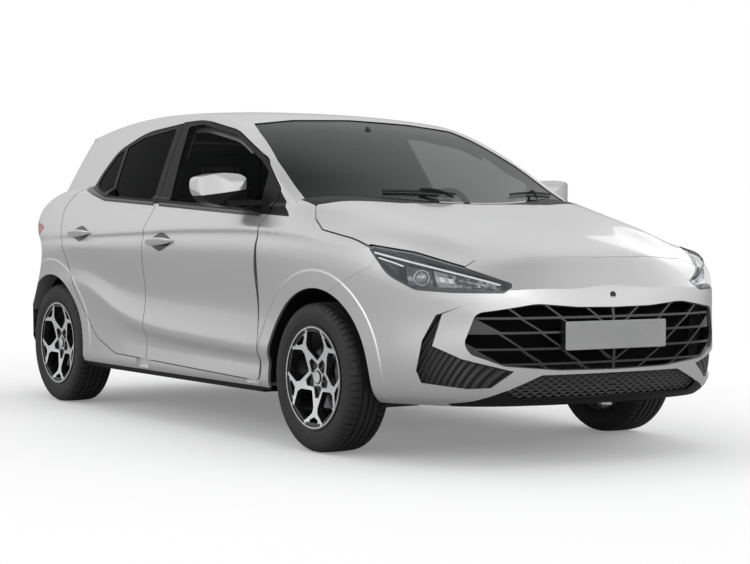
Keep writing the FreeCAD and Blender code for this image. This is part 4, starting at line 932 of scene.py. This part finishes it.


# A dark sheet behind the open grille: painted shade for the dark inside of the nose


def grille_shade_sheet():
    rows = []
    for i in range(9):
        z = 0.385 + 0.235 * i / 8
        spread = [-0.60 + 1.20 * j / 40 for j in range(41)]
        rows.append([(x, GRILLE_NOSE + GRILLE_BOW * x * x + 0.092, z) for x in spread])
    mesh = grid_mesh("grille_shade_sheet", rows)
    add_object("grille_shade_sheet", mesh, [GRILLE_SHADE_BLACK], "body")


grille_shade_sheet()


# Seats


def padded_piece(name, low, high, lean, pivot, crown, waist, voxel, cap, mats, mirror_to=None):
    """A cushion whose sides pull in, swollen by a short cloth run, then leaned about its foot."""
    mesh = bpy.data.meshes.new(name)
    work = bmesh.new()
    bmesh.ops.create_cube(work, size=2.0)
    bmesh.ops.subdivide_edges(work, edges=work.edges, cuts=9, use_grid_fill=True)
    size = [(high[k] - low[k]) / 2 for k in range(3)]
    mid = [(high[k] + low[k]) / 2 for k in range(3)]
    thin = size.index(min(size))
    wide = [k for k in range(3) if k != thin]
    for vert in work.verts:
        u, v, w = vert.co[wide[0]], vert.co[wide[1]], vert.co[thin]
        round_u = math.copysign(abs(u) ** 0.9, u)
        round_v = math.copysign(abs(v) ** 0.9, v)
        pull = 1 - waist * (1 - abs(u) ** 2) * (abs(v) > 0.99) - waist * (1 - abs(v) ** 2) * (abs(u) > 0.99)
        corner = 1 - 0.10 * (abs(u) * abs(v)) ** 4
        edge = 1 - 0.55 * max(abs(u), abs(v)) ** 7
        vert.co[wide[0]] = mid[wide[0]] + size[wide[0]] * round_u * pull * corner
        vert.co[wide[1]] = mid[wide[1]] + size[wide[1]] * round_v * pull * corner
        vert.co[thin] = mid[thin] + size[thin] * w * (edge * (1 - crown) + crown * (1 - (u * u + v * v) / 2))
    work.to_mesh(mesh)
    work.free()
    obj = add_object(name, mesh, mats, "body")
    bpy.context.view_layer.objects.active = obj
    remesh = obj.modifiers.new("remesh", "REMESH")
    remesh.mode = "VOXEL"
    remesh.voxel_size = voxel
    bpy.ops.object.modifier_apply(modifier="remesh")
    start = [v.co.copy() for v in obj.data.vertices]
    cloth = obj.modifiers.new("swell", "CLOTH")
    cloth.settings.use_pressure = True
    cloth.settings.uniform_pressure_force = 4.0
    cloth.settings.effector_weights.gravity = 0.0
    cloth.settings.tension_stiffness = 12
    cloth.settings.compression_stiffness = 12
    cloth.settings.quality = 4
    cloth.collision_settings.use_self_collision = False
    cloth.point_cache.frame_start = 1
    cloth.point_cache.frame_end = 20
    for step in range(1, 21):
        bpy.context.scene.frame_set(step)
    bpy.context.view_layer.update()
    moved = [v.co.copy() for v in obj.evaluated_get(bpy.context.evaluated_depsgraph_get()).data.vertices]
    obj.modifiers.remove(cloth)
    bpy.context.scene.frame_set(1)
    for vert, old, new in zip(obj.data.vertices, start, moved):
        change = new - old
        if change.length > cap:
            change = change.normalized() * cap
        vert.co = old + change
    for vert in obj.data.vertices:
        vert.co = groove(vert.co, low, high, thin, wide)
    turn = Matrix.Translation(pivot) @ Matrix.Rotation(lean, 4, "X") @ Matrix.Translation(-Vector(pivot))
    obj.data.transform(turn)
    for face in obj.data.polygons:
        face.use_smooth = True
    fine = obj.modifiers.new("fine", "SUBSURF")
    fine.levels = 1
    fine.render_levels = 1
    bpy.ops.object.modifier_apply(modifier="fine")
    if mirror_to:
        other = bpy.data.meshes.new(mirror_to)
        other.from_pydata([(-v.co.x, v.co.y, v.co.z) for v in obj.data.vertices], [],
                          [tuple(reversed(f.vertices)) for f in obj.data.polygons])
        twin = add_object(mirror_to, other, mats, "body")
    return obj


def groove(co, low, high, thin, wide):
    """Sewn channels: two along the cushion, and shallower ones across its middle panel."""
    mid = [(high[k] + low[k]) / 2 for k in range(3)]
    size = [(high[k] - low[k]) / 2 for k in range(3)]
    u = (co[wide[0]] - mid[wide[0]]) / size[wide[0]]
    v = (co[wide[1]] - mid[wide[1]]) / size[wide[1]]
    sink = 0.010 * math.exp(-((abs(u) - 0.58) / 0.035) ** 2)
    if abs(u) < 0.58:
        sink += 0.005 * math.exp(-(((v * 3) % 1.0 - 0.5) / 0.10) ** 2)
    out = co.copy()
    out[thin] -= math.copysign(sink, co[thin] - mid[thin])
    return out


padded_piece("front_seat_cushion_right", (-0.600, -0.180, 0.400), (-0.140, 0.330, 0.520), math.radians(7),
             (-0.37, 0.08, 0.45), 0.16, 0.03, 0.010, 0.012, [CLOTH], "front_seat_cushion_left")
padded_piece("front_seat_back_right", (-0.600, 0.300, 0.500), (-0.140, 0.415, 1.020), math.radians(-16),
             (-0.37, 0.36, 0.50), 0.16, 0.05, 0.010, 0.012, [CLOTH], "front_seat_back_left")
padded_piece("front_head_rest_right", (-0.480, 0.490, 1.065), (-0.260, 0.550, 1.230), math.radians(-8),
             (-0.37, 0.52, 1.15), 0.2, 0.05, 0.006, 0.008, [CLOTH_SIDE], "front_head_rest_left")
padded_piece("rear_bench_cushion", (-0.530, 0.880, 0.440), (0.530, 1.330, 0.570), math.radians(5),
             (0, 1.10, 0.50), 0.14, 0.02, 0.014, 0.012, [CLOTH])
padded_piece("rear_bench_back", (-0.530, 1.230, 0.560), (0.530, 1.330, 1.010), math.radians(-16),
             (0, 1.28, 0.56), 0.14, 0.03, 0.014, 0.012, [CLOTH])
for k, x in enumerate((-0.37, 0.37)):
    for j, dx in enumerate((-0.055, 0.055)):
        post = [(x + dx, 0.505, 0.985), (x + dx, 0.512, 1.04), (x + dx, 0.518, 1.09)]
        strip("head_rest_post_%d_%d" % (k, j), post, 0.011, 0.011, (1, 0, 0), [CHROME], "body")
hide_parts("front_seats")
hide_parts("rear_seat")


# Floor, light and camera

GLOSSY_FLOOR = 0.15
GLOSSY_SKY = 0.12
FLOOR_SIZE = 60.0
FADE_START, FADE_END = 1.5, 3.2
PALE_SIDE = (-0.55, -0.83)


def seen_white(tree, glossy_share):
    """1 for the camera and through glass, and a share for mirrored light."""
    path = tree.nodes.new("ShaderNodeLightPath").outputs
    seen = maths(tree, "MAXIMUM", path["Is Camera Ray"], path["Is Transmission Ray"])
    return maths(tree, "MAXIMUM", seen, times(tree, path["Is Glossy Ray"], glossy_share))


def mixed_shader(tree, factor, first, second):
    mix = tree.nodes.new("ShaderNodeMixShader")
    for slot, value in zip(mix.inputs, (factor, first, second)):
        tree.links.new(value, slot)
    return mix.outputs["Shader"]


def studio_floor():
    """White for the camera away from the car, with the car's shadow near it, and grey for the light."""
    floor_mat, tree, shader = new_material("studio_floor")
    noise = noise_node(tree, 0.6)
    tree.links.new(tinted(tree, noise, (0.80, 0.80, 0.80), 0.02), shader.inputs["Base Color"])
    set_inputs(shader, {"Roughness": 0.9, "Emission Color": (1, 1, 1, 1), "Emission Strength": 0.20})
    grey = tree.nodes.new("ShaderNodeBsdfDiffuse")
    grey.inputs["Color"].default_value = (0.36, 0.36, 0.365, 1)
    white = tree.nodes.new("ShaderNodeEmission")
    white.inputs["Color"].default_value = (1, 1, 1, 1)
    x, y = split_axes(tree)[:2]
    edge = ranged(tree, distance(tree, x, times(tree, y, 0.6)), 0.0, 1.0, FADE_START, FADE_END)
    near = mixed_shader(tree, edge, shader.outputs["BSDF"], white.outputs["Emission"])
    mix = mixed_shader(tree, seen_white(tree, GLOSSY_FLOOR), grey.outputs["BSDF"], near)
    tree.links.new(mix, tree.nodes["Material Output"].inputs["Surface"])
    mesh = bpy.data.meshes.new("floor")
    corners = [(-1, -1), (1, -1), (1, 1), (-1, 1)]
    mesh.from_pydata([(x * FLOOR_SIZE, y * FLOOR_SIZE, 0) for x, y in corners], [], [(0, 1, 2, 3)])
    floor = bpy.data.objects.new("floor", mesh)
    floor.data.materials.append(floor_mat)
    bpy.context.collection.objects.link(floor)


def studio_sky():
    """A pale band round the car, lighter in front and on the right, under a darker top."""
    world = bpy.data.worlds.new("studio")
    bpy.context.scene.world = world
    world.use_nodes = True
    tree = world.node_tree
    background = tree.nodes["Background"]
    x, y, z = split_axes(tree, "Generated")
    side = plus(tree, times(tree, x, PALE_SIDE[0]), times(tree, y, PALE_SIDE[1]))
    height = times(tree, plus(tree, plus(tree, z, times(tree, side, 0.30)), 0.30), 0.65)
    levels = [(0.02, 0.26), (0.16, 0.88), (0.30, 1.02), (0.50, 1.16), (0.62, 0.80), (0.76, 0.38),
              (1.0, 0.32)]
    stops = [(place, (level, level * 1.005, level * 1.01)) for place, level in levels]
    tree.links.new(ramp(tree, height, stops), background.inputs["Color"])
    tree.links.new(plus(tree, times(tree, side, 0.35), 1.05), background.inputs["Strength"])
    seen = tree.nodes.new("ShaderNodeBackground")
    set_inputs(seen, {"Color": (1, 1, 1, 1), "Strength": 1.0})
    mix = mixed_shader(tree, seen_white(tree, GLOSSY_SKY), background.outputs["Background"],
                       seen.outputs["Background"])
    tree.links.new(mix, tree.nodes["World Output"].inputs["Surface"])


def area_light(name, spot, target, width, height, power, mirrored=True):
    lamp = bpy.data.lights.new(name, "AREA")
    lamp.shape = "RECTANGLE"
    lamp.size = width
    lamp.size_y = height
    lamp.energy = power
    obj = bpy.data.objects.new(name, lamp)
    obj.location = spot
    aim = Vector(target) - Vector(spot)
    obj.rotation_euler = aim.to_track_quat("-Z", "Y").to_euler()
    obj.visible_camera = False
    obj.visible_glossy = mirrored
    bpy.context.collection.objects.link(obj)


def camera():
    """The photo's view, with angles in radians and the focal length in the photo's pixels."""
    spot = Vector((-4.8141, -7.5793, 0.9421))
    yaw, pitch, roll, focal, picture_width = 0.58575, -0.03130, 0.00558, 1835.0, 750.0
    forward = Vector((math.sin(yaw) * math.cos(pitch), math.cos(yaw) * math.cos(pitch), math.sin(pitch)))
    right = Vector((math.cos(yaw), -math.sin(yaw), 0))
    top = right.cross(forward)
    right, top = right * math.cos(roll) + top * math.sin(roll), top * math.cos(roll) - right * math.sin(roll)
    lens = bpy.data.cameras.new("camera")
    lens.sensor_width = 36.0
    lens.lens = focal / picture_width * lens.sensor_width
    lens.clip_end = 200
    obj = bpy.data.objects.new("camera", lens)
    turn = Matrix((right, top, -forward)).transposed().to_4x4()
    obj.matrix_world = Matrix.Translation(spot) @ turn
    bpy.context.collection.objects.link(obj)
    bpy.context.scene.camera = obj


studio_floor()
studio_sky()
area_light("overhead", (0, 0, 5.5), (0, 0, 0.5), 5.0, 6.5, 80, False)
area_light("right_side", (-6.5, 0.0, 3.0), (-0.5, -0.2, 0.7), 6.0, 2.2, 50)
area_light("left_side", (6.5, 0.5, 3.4), (0.5, 0.2, 0.7), 7.0, 2.2, 40)
area_light("front", (-0.5, -7.5, 3.0), (0, -1.5, 0.6), 5.0, 2.4, 45)
area_light("rear", (0.5, 7.5, 3.4), (0, 1.5, 0.7), 5.0, 1.8, 14, False)
camera()
bpy.context.scene.view_settings.view_transform = "Standard"
